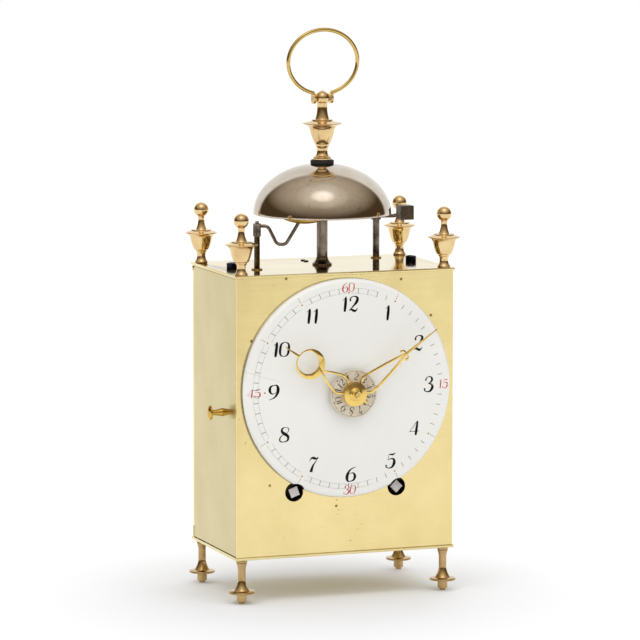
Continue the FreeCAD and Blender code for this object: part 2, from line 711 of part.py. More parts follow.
# Case pieces
def soft_plate(z0, holes):
    """Base or top plate with softened edges and its holes."""
    plate = block(-PLATE_X, PLATE_X, -PLATE_Y, PLATE_Y, z0, z0 + PLATE_T)
    plate = plate.makeFillet(PLATE_ROUND, plate.Edges)
    tools = [rod_z(radius, x, y, z0 - PLATE_T, z0 + 2 * PLATE_T) for radius, x, y in holes]
    return cut(plate, *tools)


def shared_holes():
    """Holes that base and top plate have in common: posts, hinge rods and pintles."""
    holes = [(POST_STUD_R + SEAT_GAP, x, y) for _, x, y in post_places()]
    holes += [(HINGE_ROD_R + SEAT_GAP, side * HINGE_X, HINGE_Y) for _, side in SIDES]
    holes.append((PINTLE_R + RUN_GAP, *back_hinge()))
    return holes


def back_hinge():
    """Axis of the back door, at the middle of its thickness."""
    return (-BACK_DOOR_X + DOOR_T / 2, BACK_DOOR_Y + DOOR_T / 2)


def base_plate():
    return soft_plate(BASE_Z, shared_holes() + plate_screw_holes())


def plate_screw_holes():
    return [(PLATE_SCREW_SHANK_R + SEAT_GAP, side * PLATE_SCREW_X, 0) for _, side in SIDES]


def top_plate():
    holes = shared_holes() + plate_screw_holes()
    holes += [(COCK_SCREW_SHANK_R + SEAT_GAP, x, y) for x, y in COCK_SCREW_AT]
    holes.append((STANDARD_STUD_R + SEAT_GAP, 0, 0))
    holes += [(post_r + RUN_GAP + BUSH_WALL + SEAT_GAP, *at) for at, post_r in hammer_posts()]
    return soft_plate(CEILING_Z, holes)


def hammer_posts():
    return ((ALARM_AT, ALARM_POST_R), (STRIKE_AT, STRIKE_POST_R))


def front_plate():
    panel = block(-PANEL_X, PANEL_X, -PANEL_Y, FRONT_BACK, FLOOR_Z, CEILING_Z)
    tools = [rod_y(WINDING_HOLE_R, side * WINDING_X, WINDING_Z, -PLATE_Y, FRONT_BACK + FRONT_T)
             for _, side in SIDES]
    tools.append(rod_y(DIAL_HOLE_R, 0, ARBOR_Z, -PLATE_Y, FRONT_BACK + FRONT_T))
    return cut(panel, *tools)


def corner_posts():
    posts = []
    for _, x, y in post_places():
        post = turned((0, BASE_Z - POST_STUD_DOWN), (POST_STUD_R, BASE_Z - POST_STUD_DOWN),
                      (POST_STUD_R, FLOOR_Z), (POST_R, FLOOR_Z), (POST_R, CEILING_Z),
                      (POST_STUD_R, CEILING_Z), (POST_STUD_R, DECK_Z + POST_STUD_UP),
                      (0, DECK_Z + POST_STUD_UP))
        post.translate(V(x, y, 0))
        posts.append(post)
    return Part.makeCompound(posts)


def foot(x, y):
    """Turned foot: peg, flange, slender stem and cap, bored for the post's stud."""
    flange_z = FOOT_FLANGE_Z + FOOT_FLANGE_RISE
    flange_edge_r = FOOT_FLANGE_R - FOOT_FLANGE_EDGE
    cap_z = FOOT_GROOVE_Z + FOOT_GROOVE_H
    cup_middle = ((FOOT_STEM_R + FOOT_CUP_R) / 2 - PLATE_ROUND / 2, FOOT_CUP_Z + FOOT_CUP_H / 2)
    bore = POST_STUD_R + SEAT_GAP
    bore_z = BASE_Z - POST_STUD_DOWN
    shape = turned(
        (0, 0), (FOOT_TIP_R, 0), (FOOT_TIP_R, FOOT_TIP_H), (FOOT_PEG_R, FOOT_TIP_H),
        (FOOT_PEG_R, FOOT_FLANGE_Z), (flange_edge_r, flange_z),
        ((FOOT_FLANGE_R, flange_z + FOOT_FLANGE_H / 2), (flange_edge_r, flange_z + FOOT_FLANGE_H)),
        (FOOT_FLARE_LOW_R, FOOT_FLARE_Z),
        ((FOOT_FLARE_R, FOOT_FLARE_Z + FOOT_FLARE_RISE), (FOOT_STEM_R, FOOT_STEM_Z)),
        (FOOT_STEM_R, FOOT_CUP_Z), (cup_middle, (FOOT_CUP_R, FOOT_GROOVE_Z)),
        (FOOT_GROOVE_R, FOOT_GROOVE_Z), (FOOT_GROOVE_R, cap_z), (FOOT_CUP_R, cap_z),
        (FOOT_CUP_R, BASE_Z), (bore, BASE_Z), (bore, bore_z), (0, bore_z))
    shape.translate(V(x, y, 0))
    return shape


def finial_outline(base_r, base_h, waist_r, waist_h, bead_r, bead_rise, bead_h, urn_low_r, urn_r,
                   urn_h, dish_r, dish_rise, dish_h, step_r, step_rise, step_h, shoulder_r,
                   neck_r, neck_h, ball_r, tip_r, tip_h, bore_r, bore_h):
    """Outline of a turned urn finial from its base to its ball, and the ball's middle."""
    waist = base_h + waist_h
    bead = waist + bead_rise
    urn = bead + bead_h
    swell = urn + urn_h
    dish = swell + dish_rise
    step = dish + dish_h + step_rise
    shoulder = step + step_h
    neck = shoulder + neck_h
    ball_low = math.sqrt(ball_r ** 2 - neck_r ** 2)
    middle = neck + ball_low

    def curve(narrow_r, wide_r, low, height, shares):
        return (narrow_r + shares[0] * (wide_r - narrow_r), low + shares[1] * height)

    outline = [
        (bore_r, 0), (base_r, 0), (base_r, base_h),
        (curve(waist_r, base_r, base_h, waist_h, WAIST_CURVE), (waist_r, waist)),
        (curve(waist_r, bead_r, waist, bead_rise, BEAD_CURVE), (bead_r, bead)),
        (bead_r, urn), (urn_low_r, urn + URN_CHAMFER * urn_h),
        (((urn_low_r + urn_r) / 2 + URN_BULGE, urn + urn_h / 2), (urn_r, swell)),
        (curve(urn_r, dish_r, swell, dish_rise, LIP_CURVE), (dish_r, dish)),
        (dish_r, dish + dish_h), (step_r, step), (step_r, shoulder), (shoulder_r, shoulder),
        (curve(neck_r, shoulder_r, shoulder, neck_h, NECK_CURVE), (neck_r, neck)),
        ((ball_r, middle), (tip_r, middle + math.sqrt(ball_r ** 2 - tip_r ** 2))),
        (0, middle + tip_h), (0, bore_h), (bore_r, bore_h)]
    return outline, middle


def corner_finial(x, y):
    outline, _ = finial_outline(
        FINIAL_BASE_R, FINIAL_BASE_H, FINIAL_WAIST_R, FINIAL_WAIST_H, FINIAL_BEAD_R,
        FINIAL_BEAD_RISE, FINIAL_BEAD_H, FINIAL_URN_LOW_R, FINIAL_URN_R, FINIAL_URN_H,
        FINIAL_DISH_R, FINIAL_DISH_RISE, FINIAL_DISH_H, FINIAL_STEP_R, FINIAL_STEP_RISE,
        FINIAL_STEP_H, FINIAL_SHOULDER_R, FINIAL_NECK_R, FINIAL_NECK_H, FINIAL_BALL_R,
        FINIAL_TIP_R, FINIAL_TIP_H, POST_STUD_R + SEAT_GAP, POST_STUD_UP)
    shape = turned(*outline)
    shape.translate(V(x, y, DECK_Z))
    return shape


def hinge_rods():
    return Part.makeCompound([rod_z(HINGE_ROD_R, side * HINGE_X, HINGE_Y, BASE_Z, DECK_Z)
                              for _, side in SIDES])


def side_door(side):
    """Brass side door with two knuckles round its hinge rod."""
    low = FLOOR_Z + DOOR_GAP
    high = CEILING_Z - DOOR_GAP
    rear = HINGE_Y - KNUCKLE_R - DOOR_GAP
    inner = PANEL_X - DOOR_T
    panel = block(inner, PANEL_X, FRONT_BACK + DOOR_GAP, rear, low, high)
    solids = []
    bores = []
    for z0, z1 in ((low, low + KNUCKLE_LOW_H), (high - KNUCKLE_TOP_H, high)):
        solids.append(rod_z(KNUCKLE_R, HINGE_X, HINGE_Y, z0, z1))
        solids.append(block(HINGE_X - DOOR_T / 2, HINGE_X + DOOR_T / 2, rear - DOOR_T, HINGE_Y, z0, z1))
        bores.append(rod_z(HINGE_ROD_R + RUN_GAP, HINGE_X, HINGE_Y, z0, z1))
    shape = cut(fused(panel, *solids), *bores)
    if side < 0:
        shape = shape.mirror(V(0, 0, 0), V(1, 0, 0))
    return shape


def knob():
    """Turned door knob along +Z: flared stem and mushroom head."""
    edge = KNOB_STEM + KNOB_HEAD_T / 2
    return turned(
        (0, 0), (KNOB_FOOT_R, 0),
        ((KNOB_NECK_R + KNOB_FLARE * (KNOB_FOOT_R - KNOB_NECK_R), KNOB_STEM / 2), (KNOB_NECK_R, KNOB_STEM)),
        (KNOB_HEAD_R, KNOB_STEM), (KNOB_HEAD_R, edge), cap(KNOB_HEAD_R, edge, KNOB_HEAD_T / 2))


def side_knob(side):
    shape = knob()
    shape.rotate(V(0, 0, 0), V(0, 1, 0), side * 90)
    shape.translate(V(side * PANEL_X, -KNOB_FORWARD, KNOB_Z))
    return shape


def back_door():
    low = FLOOR_Z + DOOR_GAP
    high = CEILING_Z - DOOR_GAP
    hinge_x, hinge_y = back_hinge()
    panel = block(hinge_x, BACK_DOOR_X, BACK_DOOR_Y, PANEL_Y, low, high)
    edge = rod_z(DOOR_T / 2, hinge_x, hinge_y, low, high)
    pintles = rod_z(PINTLE_R, hinge_x, hinge_y, BASE_Z, DECK_Z)
    return fused(panel, edge, pintles)


def back_knob():
    return along_y(knob(), BACK_DOOR_X - BACK_KNOB_IN, KNOB_Z, PANEL_Y)


# Dial, hands and motion work
def dial():
    """Domed enamel dial with a rounded shoulder, notched round the winding holes."""
    rim_in = DIAL_R - DIAL_T
    dome_r = DIAL_R - DIAL_SHOULDER
    shoulder_h = DIAL_RIM_H + DIAL_SHOULDER_RISE
    turn_in, turn_up = DIAL_SHOULDER_CURVE
    crown = DIAL_RIM_H + DIAL_DOME_H
    rise = crown - shoulder_h
    shape = turned(
        (rim_in, 0), (DIAL_R, 0), (DIAL_R, DIAL_RIM_H),
        ((DIAL_R - turn_in * DIAL_SHOULDER, DIAL_RIM_H + turn_up * DIAL_SHOULDER), (dome_r, shoulder_h)),
        cap(dome_r, shoulder_h, rise), (0, 0))
    under_r = dome_r - DIAL_T
    under_h = shoulder_h - DIAL_T
    hollow = turned((rim_in, 0), (under_r, under_h), cap(under_r, under_h, rise), (0, 0))
    shape = cut(shape, hollow)
    shape.rotate(V(0, 0, 0), V(1, 0, 0), 90)
    shape.translate(V(0, -PANEL_Y, DIAL_Z))
    tools = [rod_y(WINDING_HOLE_R, side * WINDING_X, WINDING_Z, DIAL_CROWN_Y, FRONT_BACK)
             for _, side in SIDES]
    tools.append(rod_y(DIAL_HOLE_R, 0, ARBOR_Z, DIAL_CROWN_Y - DIAL_T, FRONT_BACK))
    return cut(shape, *tools)


def band(start, middle, end, width):
    """Flat curved strip of constant width through three (along, across) points."""
    def side_points(offset):
        moved = []
        for before, here, after in ((start, start, middle), (start, middle, end), (middle, end, end)):
            dx = after[0] - before[0]
            dz = after[1] - before[1]
            size = math.hypot(dx, dz)
            moved.append((here[0] - offset * dz / size, here[1] + offset * dx / size))
        return moved

    left = side_points(width / 2)
    right = side_points(-width / 2)
    return [left[0], (left[1], left[2]), right[2], (right[1], right[0])]


def hand_shape(outlines, y_front):
    """Fuse flat outlines, drawn pointing along +X, into one hand."""
    solids = [plate_from(points, y_front, y_front + HAND_T) for points in outlines]
    return fused(*solids)


def turned_hand(shape, degrees):
    """Turn a hand drawn along +X to its place, clockwise from twelve, on the hand axis."""
    shape.rotate(V(0, 0, 0), V(0, 1, 0), degrees - 90)
    shape.translate(V(0, 0, ARBOR_Z))
    return shape


def loop_arms(tip_at, hub_r, width):
    """The two arms of a hand's loop, from its hub round to where they meet."""
    arms = []
    for side in (1, -1):
        wide = (LOOP_BACK + LOOP_BEND, side * (LOOP_HALF - LOOP_DRAW))
        bow = ((tip_at + LOOP_BACK) / 2 + LOOP_BOW_OFF, side * LOOP_BOW * LOOP_HALF)
        arms.append(band((tip_at, side * LOOP_TIP * width), bow, wide, width))
        arms.append(band(wide, (LOOP_BACK, side * LOOP_HALF), (hub_r - width, side * LOOP_HALF / 2), width))
    return arms


def blade(start, end, width):
    return [(start, -width / 2), (end, -HAND_TIP_W / 2), (end, HAND_TIP_W / 2), (start, width / 2)]


def hour_hand():
    """Hour hand: hub, open loop, eccentric ring, short blade and the alarm pointer at its tail."""
    face = HOUR_HUB_Y - HUB_T / 2 - HAND_T / 2
    tip_at = HOUR_RING_AT - HOUR_RING_R + HOUR_ARM_W / 2
    outlines = loop_arms(tip_at, HOUR_HUB_R, HOUR_ARM_W)
    outlines.append(blade(HOUR_RING_AT + HOUR_RING_R - HOUR_ARM_W / 2, HOUR_REACH, HOUR_BLADE_W))
    outlines.append([(-HOUR_HUB_R + HUB_T, HOUR_BLADE_W / 2), (-HOUR_TAIL, HAND_TIP_W / 2),
                     (-HOUR_TAIL, -HAND_TIP_W / 2), (-HOUR_HUB_R + HUB_T, -HOUR_BLADE_W / 2)])
    shape = hand_shape(outlines, face)
    moon = rod_y(HOUR_RING_R, HOUR_RING_AT, 0, face, face + HAND_T)
    eye = rod_y(HOUR_EYE_R, HOUR_RING_AT + HOUR_EYE_SHIFT, 0, face - HAND_T, face + 2 * HAND_T)
    hub = rod_y(HOUR_HUB_R, 0, 0, HOUR_HUB_Y - HUB_T, HOUR_HUB_Y)
    bore = rod_y(HOUR_PIPE_R, 0, 0, HOUR_HUB_Y - 2 * HUB_T, HOUR_HUB_Y + HUB_T)
    return turned_hand(cut(fused(shape, cut(moon, eye), hub), bore), HOUR_TURN)


def minute_hand():
    """Minute hand: hub disc, slender loop, two scrolls where its arms meet and a long blade."""
    face = MINUTE_HUB_Y - HUB_T / 2 - HAND_T / 2
    outlines = loop_arms(MINUTE_CROSS_AT, MINUTE_HUB_R, MINUTE_ARM_W)
    outlines.append(blade(MINUTE_CROSS_AT - MINUTE_BLADE_W, MINUTE_REACH, MINUTE_BLADE_W))
    scrolls = []
    for side in (1, -1):
        start, bend, end = [(MINUTE_CROSS_AT + along * SCROLL_R, side * across * SCROLL_R)
                            for along, across in (SCROLL_START, SCROLL_BEND, SCROLL_END)]
        outlines.append(band(start, bend, end, SCROLL_R))
        scrolls.append(rod_y(SCROLL_R, end[0], end[1], face, face + HAND_T))
    shape = hand_shape(outlines, face)
    hub = rod_y(MINUTE_HUB_R, 0, 0, MINUTE_HUB_Y - HUB_T, MINUTE_HUB_Y)
    bore = rod_y(CANNON_R, 0, 0, MINUTE_HUB_Y - 2 * HUB_T, MINUTE_HUB_Y + HUB_T)
    return fused(turned_hand(cut(fused(shape, hub, *scrolls), bore), MINUTE_TURN), minute_collet())


def minute_collet():
    """Stepped brass collet in front of the minute hand."""
    bore = CENTRE_FRONT_R + RUN_GAP
    middle, end = [(wide * COLLET_R, high * COLLET_H) for wide, high in COLLET_CURVE]
    low, high = [share * COLLET_H for share in COLLET_NECK]
    shape = turned((bore, 0), (COLLET_R, 0), (middle, end), (COLLET_TIP_R, low), (COLLET_TIP_R, high),
                   (COLLET_EDGE * COLLET_TIP_R, COLLET_H), (bore, COLLET_H))
    shape.rotate(V(0, 0, 0), V(1, 0, 0), 90)
    shape.translate(V(0, COLLET_Y, ARBOR_Z))
    return shape


def cannon_pinion():
    """Cannon pinion: leaves behind the dial and a pipe that carries the minute hand."""
    leaves = pinion(CENTRE_AT, CANNON_TEETH, MOTION_MODULE, 0, MINUTE_WHEEL_Y, WHEEL_T)
    pipe = rod_y(CANNON_R, 0, ARBOR_Z, COLLET_Y, MINUTE_WHEEL_Y + WHEEL_T)
    bore = rod_y(CENTRE_FRONT_R + RUN_GAP, 0, ARBOR_Z, HAND_TIP_Y, MOVEMENT_FRONT)
    return cut(fused(leaves, pipe), bore)


def minute_wheel():
    """Minute wheel and its pinion, on a stud of the movement's front plate."""
    phase = mesh_phase(CENTRE_AT, CANNON_TEETH, 0, MINUTE_STUD_AT, MINUTE_WHEEL_TEETH)
    disc = wheel(MINUTE_STUD_AT, MINUTE_WHEEL_TEETH, MOTION_MODULE, phase, MINUTE_WHEEL_Y, WHEEL_T)
    leaves = plate_from(tooth_points(MINUTE_STUD_AT, MINUTE_WHEEL_LEAVES, HOUR_MODULE, 0),
                        HOUR_WHEEL_Y - PINION_OVER, MINUTE_WHEEL_Y + WHEEL_T / 2)
    bore = rod_y(MINUTE_STUD_R + RUN_GAP, *MINUTE_STUD_AT, FRONT_BACK, MOVEMENT_FRONT)
    return cut(fused(disc, leaves), bore)


def hour_wheel():
    """Hour wheel with the pipe that carries the hour hand and the alarm disc."""
    phase = mesh_phase(MINUTE_STUD_AT, MINUTE_WHEEL_LEAVES, 0, CENTRE_AT, HOUR_TEETH)
    disc = wheel(CENTRE_AT, HOUR_TEETH, HOUR_MODULE, phase, HOUR_WHEEL_Y, WHEEL_T)
    pipe = rod_y(HOUR_PIPE_R, 0, ARBOR_Z, HOUR_HUB_Y - HUB_T, HOUR_WHEEL_Y + WHEEL_T)
    bore = rod_y(CANNON_R + RUN_GAP, 0, ARBOR_Z, HAND_TIP_Y, MOVEMENT_FRONT)
    return cut(fused(disc, pipe), bore)


def alarm_disc():
    """Alarm setting disc, friction-tight on the hour pipe, with a short collar behind."""
    disc = rod_y(ALARM_DISC_R, 0, ARBOR_Z, ALARM_DISC_Y - ALARM_DISC_T, ALARM_DISC_Y)
    collar = rod_y(ALARM_COLLAR_R, 0, ARBOR_Z, ALARM_DISC_Y, ALARM_DISC_Y + ALARM_DISC_AHEAD)
    bore = rod_y(HOUR_PIPE_R + RUN_GAP, 0, ARBOR_Z, HAND_TIP_Y, MOVEMENT_FRONT)
    return cut(fused(disc, collar), bore)


# Bell and handle
def dome(half_width, height, flat_z):
    """Solid half ellipsoid on the bell's rim, cut flat at a given height."""
    rim = V(half_width, 0, BELL_RIM_Z)
    middle = V(0, 0, BELL_RIM_Z)
    crown = V(0, 0, BELL_RIM_Z + height)
    arc = Part.ArcOfEllipse(Part.Ellipse(rim, crown, middle), 0, math.pi / 2).toShape()
    sides = Part.makePolygon([crown, middle, rim]).Edges
    face = Part.Face(Part.Wire(Part.sortEdges([arc] + sides)[0]))
    solid = face.revolve(V(0, 0, 0), V(0, 0, 1), 360)
    return cut(solid, block(-half_width, half_width, -half_width, half_width, flat_z, flat_z + height))


def bell():
    """Bell of even thickness with a ground flat on its crown, drilled for the standard."""
    shape = cut(dome(BELL_R, BELL_H, BELL_TOP_Z), dome(BELL_R - BELL_T, BELL_H - BELL_T, BELL_TOP_Z - BELL_T))
    return cut(shape, rod_z(STANDARD_STUD_R + SEAT_GAP, 0, 0, BELL_RIM_Z, BELL_TOP_Z + BELL_T))


def bell_standard():
    """Steel column with a flared foot, riveted through the top plate and studded through the bell."""
    seat = BELL_TOP_Z - BELL_T
    top = WASHER_TOP_Z + STANDARD_STUD_UP
    return turned(
        (0, CEILING_Z), (STANDARD_STUD_R, CEILING_Z), (STANDARD_STUD_R, DECK_Z), (STANDARD_FOOT_R, DECK_Z),
        (STANDARD_FOOT_R, DECK_Z + STANDARD_FOOT_EDGE), (STANDARD_R, DECK_Z + STANDARD_FOOT_H),
        (STANDARD_R, seat), (STANDARD_STUD_R, seat), (STANDARD_STUD_R, top), (0, top))


def bell_washer():
    ring = rod_z(WASHER_R, 0, 0, BELL_TOP_Z, WASHER_TOP_Z)
    return cut(ring, rod_z(STANDARD_STUD_R + SEAT_GAP, 0, 0, BELL_TOP_Z, WASHER_TOP_Z))


def handle_outline():
    return finial_outline(
        HANDLE_BASE_R, HANDLE_BASE_H, HANDLE_WAIST_R, HANDLE_WAIST_H, HANDLE_BEAD_R,
        HANDLE_BEAD_RISE, HANDLE_BEAD_H, HANDLE_URN_LOW_R, HANDLE_URN_R, HANDLE_URN_H,
        HANDLE_DISH_R, HANDLE_DISH_RISE, HANDLE_DISH_H, HANDLE_STEP_R, HANDLE_STEP_RISE,
        HANDLE_STEP_H, HANDLE_SHOULDER_R, HANDLE_NECK_R, HANDLE_NECK_H, HANDLE_BALL_R,
        HANDLE_TIP_R, HANDLE_TIP_H, STANDARD_STUD_R + SEAT_GAP, STANDARD_STUD_UP)


RING_Z = WASHER_TOP_Z + handle_outline()[1]
RING_EYE_X = HANDLE_BALL_R + FREE_GAP + RING_EYE_T / 2
RING_PIN_HALF = RING_EYE_X + RING_EYE_T / 2 + RING_PIN_END


def handle_pin():
    """Fixed pin through the ball, on which the carrying ring swings."""
    return rod(RING_PIN_R, V(-RING_PIN_HALF, 0, RING_Z), V(RING_PIN_HALF, 0, RING_Z))


def handle_finial():
    """Large urn finial that clamps the bell and carries the ring in its ball."""
    outline, _ = handle_outline()
    shape = turned(*outline)
    shape.translate(V(0, 0, WASHER_TOP_Z))
    waist_z = WASHER_TOP_Z + HANDLE_BASE_H + HANDLE_WAIST_H
    tommy = rod(TOMMY_HOLE_R, V(0, -HANDLE_BASE_R, waist_z), V(0, 0, waist_z))
    return cut(shape, tommy, handle_pin())


def bent_wire(corners, bend, radius):
    """Round wire along straight runs joined by bends."""
    edges = []
    here = corners[0]
    for before, corner, after in zip(corners, corners[1:], corners[2:]):
        back = (before - corner).normalize()
        ahead = (after - corner).normalize()
        half = back.getAngle(ahead) / 2
        reach = bend / math.tan(half)
        inward = (back + ahead).normalize()
        middle = corner + inward * (bend / math.sin(half) - bend)
        edges.append(Part.LineSegment(here, corner + back * reach).toShape())
        edges.append(Part.Arc(corner + back * reach, middle, corner + ahead * reach).toShape())
        here = corner + ahead * reach
    edges.append(Part.LineSegment(here, corners[-1]).toShape())
    ring = Part.Wire(Part.makeCircle(radius, corners[0], corners[1] - corners[0]))
    return Part.Wire(edges).makePipeShell([ring], True, False)


def carrying_ring():
    """Slightly flattened ring of round wire that ends in two eyes on the pin, leaning forward."""
    half = math.asin(RING_EYE_X / RING_HALF_W)
    oval = Part.Ellipse(V(RING_HALF_W, 0, RING_RISE), V(0, 0, RING_RISE + RING_HALF_H), V(0, 0, RING_RISE))
    line = Part.ArcOfEllipse(oval, half - math.pi / 2, 3 * math.pi / 2 - half).toShape()
    start = line.Vertexes[0].Point
    section = Part.Wire(Part.makeCircle(RING_WIRE_R, start, line.tangentAt(line.FirstParameter)))
    ring = Part.Wire(line).makePipeShell([section], True, False)
    eyes = [rod(RING_EYE_R, V(side * RING_EYE_X - RING_EYE_T / 2, 0, 0),
                V(side * RING_EYE_X + RING_EYE_T / 2, 0, 0)) for _, side in SIDES]
    bore = rod(RING_PIN_R + RUN_GAP, V(-RING_PIN_HALF, 0, 0), V(RING_PIN_HALF, 0, 0))
    inner = RING_EYE_X - RING_EYE_T / 2
    room = block(-inner, inner, -RING_EYE_R, RING_EYE_R, -RING_EYE_R, RING_EYE_R)
    shape = cut(fused(ring, *eyes), bore, room)
    shape.rotate(V(0, 0, 0), V(1, 0, 0), RING_LEAN)
    shape.translate(V(0, 0, RING_Z))
    return shape


# Hammers
def hammer_bushes():
    """Flanged bushes in the top plate, one for each hammer arbor."""
    bushes = []
    for (x, y), post_r in hammer_posts():
        bore = post_r + RUN_GAP
        bush = turned((bore, CEILING_Z), (bore + BUSH_WALL, CEILING_Z), (bore + BUSH_WALL, DECK_Z),
                      (BUSH_R, DECK_Z), (BUSH_R, DECK_Z + BUSH_H), (bore, DECK_Z + BUSH_H))
        bush.translate(V(x, y, 0))
        bushes.append(bush)
    return Part.makeCompound(bushes)


def alarm_wire():
    """Bent wire of the alarm hammer, from its collar under the bell's rim to its head."""
    along = V(*ALARM_HEAD_AT, 0) - V(*ALARM_AT, 0)
    corners = [V(*ALARM_AT, DECK_Z + up) + along * share for share, up in ALARM_WIRE_CORNERS]
    return bent_wire(corners, ALARM_WIRE_BEND, ALARM_WIRE_R)


def alarm_arbor():
    """Upright alarm arbor with its wire arm and two verge flags beside the crown wheel."""
    shoulder = ALARM_POST_LOW + COCK_T + FREE_GAP
    collar = DECK_Z + ALARM_COLLAR_UP
    top = collar + ALARM_COLLAR_H
    tip = top + ALARM_PIN_H
    post = turned(
        (0, ALARM_POST_LOW), (HAMMER_PIVOT_R, ALARM_POST_LOW), (HAMMER_PIVOT_R, shoulder),
        (ALARM_POST_R, shoulder), (ALARM_POST_R, collar), (ALARM_HUB_R, collar), (ALARM_HUB_R, top),
        (ALARM_PIN_R, top), (ALARM_PIN_R, tip), (0, tip))
    flags = []
    for side, turn in zip((1, -1), VERGE_TURNS):
        z = ALARM_WHEEL_AT[1] + side * (CROWN_R - CROWN_WALL / 2)
        flag = block(0, VERGE_REACH, -VERGE_T / 2, VERGE_T / 2, z - VERGE_W / 2, z + VERGE_W / 2)
        flag.rotate(V(0, 0, 0), V(0, 0, 1), turn)
        flags.append(flag)
    shape = fused(post, *flags)
    shape.translate(V(*ALARM_AT, 0))
    return fused(shape, alarm_wire())


def alarm_head():
    """Spindle-shaped brass head inside the bell, drilled for the wire."""
    half = ALARM_HEAD_L / 2
    head = turned((0, -half), (ALARM_HEAD_END_R, -half), ((ALARM_HEAD_R, 0), (ALARM_HEAD_END_R, half)),
                  (0, half))
    head.rotate(V(0, 0, 0), V(0, 1, 0), 90)
    head.rotate(V(0, 0, 0), V(0, 0, 1), ALARM_HEAD_TURN)
    head.translate(V(*ALARM_HEAD_AT, DECK_Z + ALARM_HEAD_UP))
    return cut(head, alarm_wire())


def strike_wire():
    corners = [V(*STRIKE_AT, DECK_Z + STRIKE_ARM_UP)]
    corners += [V(BELL_R + off, back, DECK_Z + up) for off, back, up in (STRIKE_ARM_KNEE, STRIKE_ARM_END)]
    return bent_wire(corners, STRIKE_ARM_BEND, STRIKE_ARM_R)


def strike_arbor():
    """Upright strike arbor with its wire arm and the tail beside the pin wheel."""
    shoulder = STRIKE_POST_LOW + COCK_T + FREE_GAP
    top = DECK_Z + STRIKE_POST_UP
    collar = top - STRIKE_HUB_H
    post = turned(
        (0, STRIKE_POST_LOW), (HAMMER_PIVOT_R, STRIKE_POST_LOW), (HAMMER_PIVOT_R, shoulder),
        (STRIKE_POST_R, shoulder), (STRIKE_POST_R, collar), (STRIKE_HUB_R, collar), (STRIKE_HUB_R, top),
        (0, top))
    reach = math.dist(STRIKE_AT, STRIKE_TAIL_AT)
    half = STRIKE_TAIL_W / 2
    tail = block(0, reach, -half, half, STRIKE_TAIL_Z, STRIKE_TAIL_Z + STRIKE_TAIL_H)
    tail.rotate(V(0, 0, 0), V(0, 0, 1), math.degrees(line_angle(STRIKE_AT, STRIKE_TAIL_AT)))
    shape = fused(post, tail)
    shape.translate(V(*STRIKE_AT, 0))
    return cut(fused(shape, strike_wire()), strike_block())


def strike_block():
    """Square hammer head with its lower back edge taken off, pointing at the bell."""
    half = STRIKE_HEAD / 2
    lean = half - STRIKE_HEAD_CHAMFER
    side = Part.makePolygon([V(-half, -half, -half), V(-half, lean, -half), V(-half, half, -lean),
                             V(-half, half, half), V(-half, -half, half), V(-half, -half, -half)])
    head = Part.Face(side).extrude(V(STRIKE_HEAD, 0, 0))
    head.translate(V(*STRIKE_HEAD_AT, DECK_Z + STRIKE_HEAD_UP))
    return head


def strike_head():
    return strike_block()


# Movement frame
def bar_places():
    """(x, z) of the four pillars, upper ones first, and the plate face each boss meets."""
    return [(side * PLATE_SCREW_X, wall + inward * PILLAR_INSET, wall)
            for wall, inward in ((CEILING_Z, -1), (FLOOR_Z, 1)) for _, side in SIDES]


def movement_plate(y0, holes):
    """Movement plate with its pivot holes and the holes of the pillar tenons."""
    y1 = y0 + MOVEMENT_PLATE_T
    plate = block(-MOVEMENT_HALF_W, MOVEMENT_HALF_W, y0, y1, PLATES_LOW_Z, PLATES_TOP_Z)
    small = (SECOND_AT, THIRD_AT, ESCAPE_AT, STRIKE_SECOND_AT, PIN_AT, WARNING_AT, FLY_AT)
    sized = [(at, PIVOT_R + RUN_GAP) for at in small]
    sized += [(at, BARREL_PIVOT_R + RUN_GAP) for at in (GOING_BARREL_AT, STRIKE_BARREL_AT)]
    sized += [((x, z), TENON_R + SEAT_GAP) for x, z, _ in bar_places()]
    return cut(plate, *[rod_y(radius, *at, y0, y1) for at, radius in sized + holes])


def movement_front_plate():
    """Front plate with the stud of the minute wheel."""
    plate = movement_plate(MOVEMENT_FRONT, [(CENTRE_AT, CENTRE_FRONT_R + RUN_GAP),
                                            (PALLET_AT, PIVOT_R + RUN_GAP)])
    stud = rod_y(MINUTE_STUD_R, *MINUTE_STUD_AT, HOUR_WHEEL_Y - WHEEL_T, TRAIN_FRONT)
    return fused(plate, stud)


def movement_back_plate():
    """Back plate, open round the pallet arbor and for the strike hammer's tail."""
    plate = movement_plate(TRAIN_BACK, [(CENTRE_AT, PIVOT_R + RUN_GAP), (PALLET_AT, STAFF_R + FREE_GAP),
                                        (ALARM_WHEEL_AT, STAFF_R + RUN_GAP)])
    middle = (STRIKE_AT[0] + STRIKE_TAIL_AT[0]) / 2
    slot = block(middle - TAIL_SLOT_HALF, middle + TAIL_SLOT_HALF, TRAIN_BACK, MOVEMENT_BACK,
                 STRIKE_TAIL_Z - 2 * FREE_GAP, STRIKE_TAIL_Z + STRIKE_TAIL_H + 2 * FREE_GAP)
    return cut(plate, slot)


def movement_pillars():
    """Four pillars between the movement plates, each with a boss for its case screw."""
    pillars = []
    for x, z, wall in bar_places():
        pillar = along_y(turned(
            (0, MOVEMENT_FRONT), (TENON_R, MOVEMENT_FRONT), (TENON_R, TRAIN_FRONT), (PILLAR_R, TRAIN_FRONT),
            ((PILLAR_R + PILLAR_SWELL, 0), (PILLAR_R, TRAIN_BACK)), (TENON_R, TRAIN_BACK),
            (TENON_R, MOVEMENT_BACK), (0, MOVEMENT_BACK)), x, z)
        low, high = sorted((z, wall))
        boss = rod_z(PILLAR_BOSS_R, x, 0, low, high)
        grip = PLATE_SCREW_GRIP if wall < z else -PLATE_SCREW_GRIP
        low, high = sorted((wall, wall + grip))
        pillars.append(cut(fused(pillar, boss), rod_z(PLATE_SCREW_SHANK_R + SEAT_GAP, x, 0, low, high)))
    return Part.makeCompound(pillars)


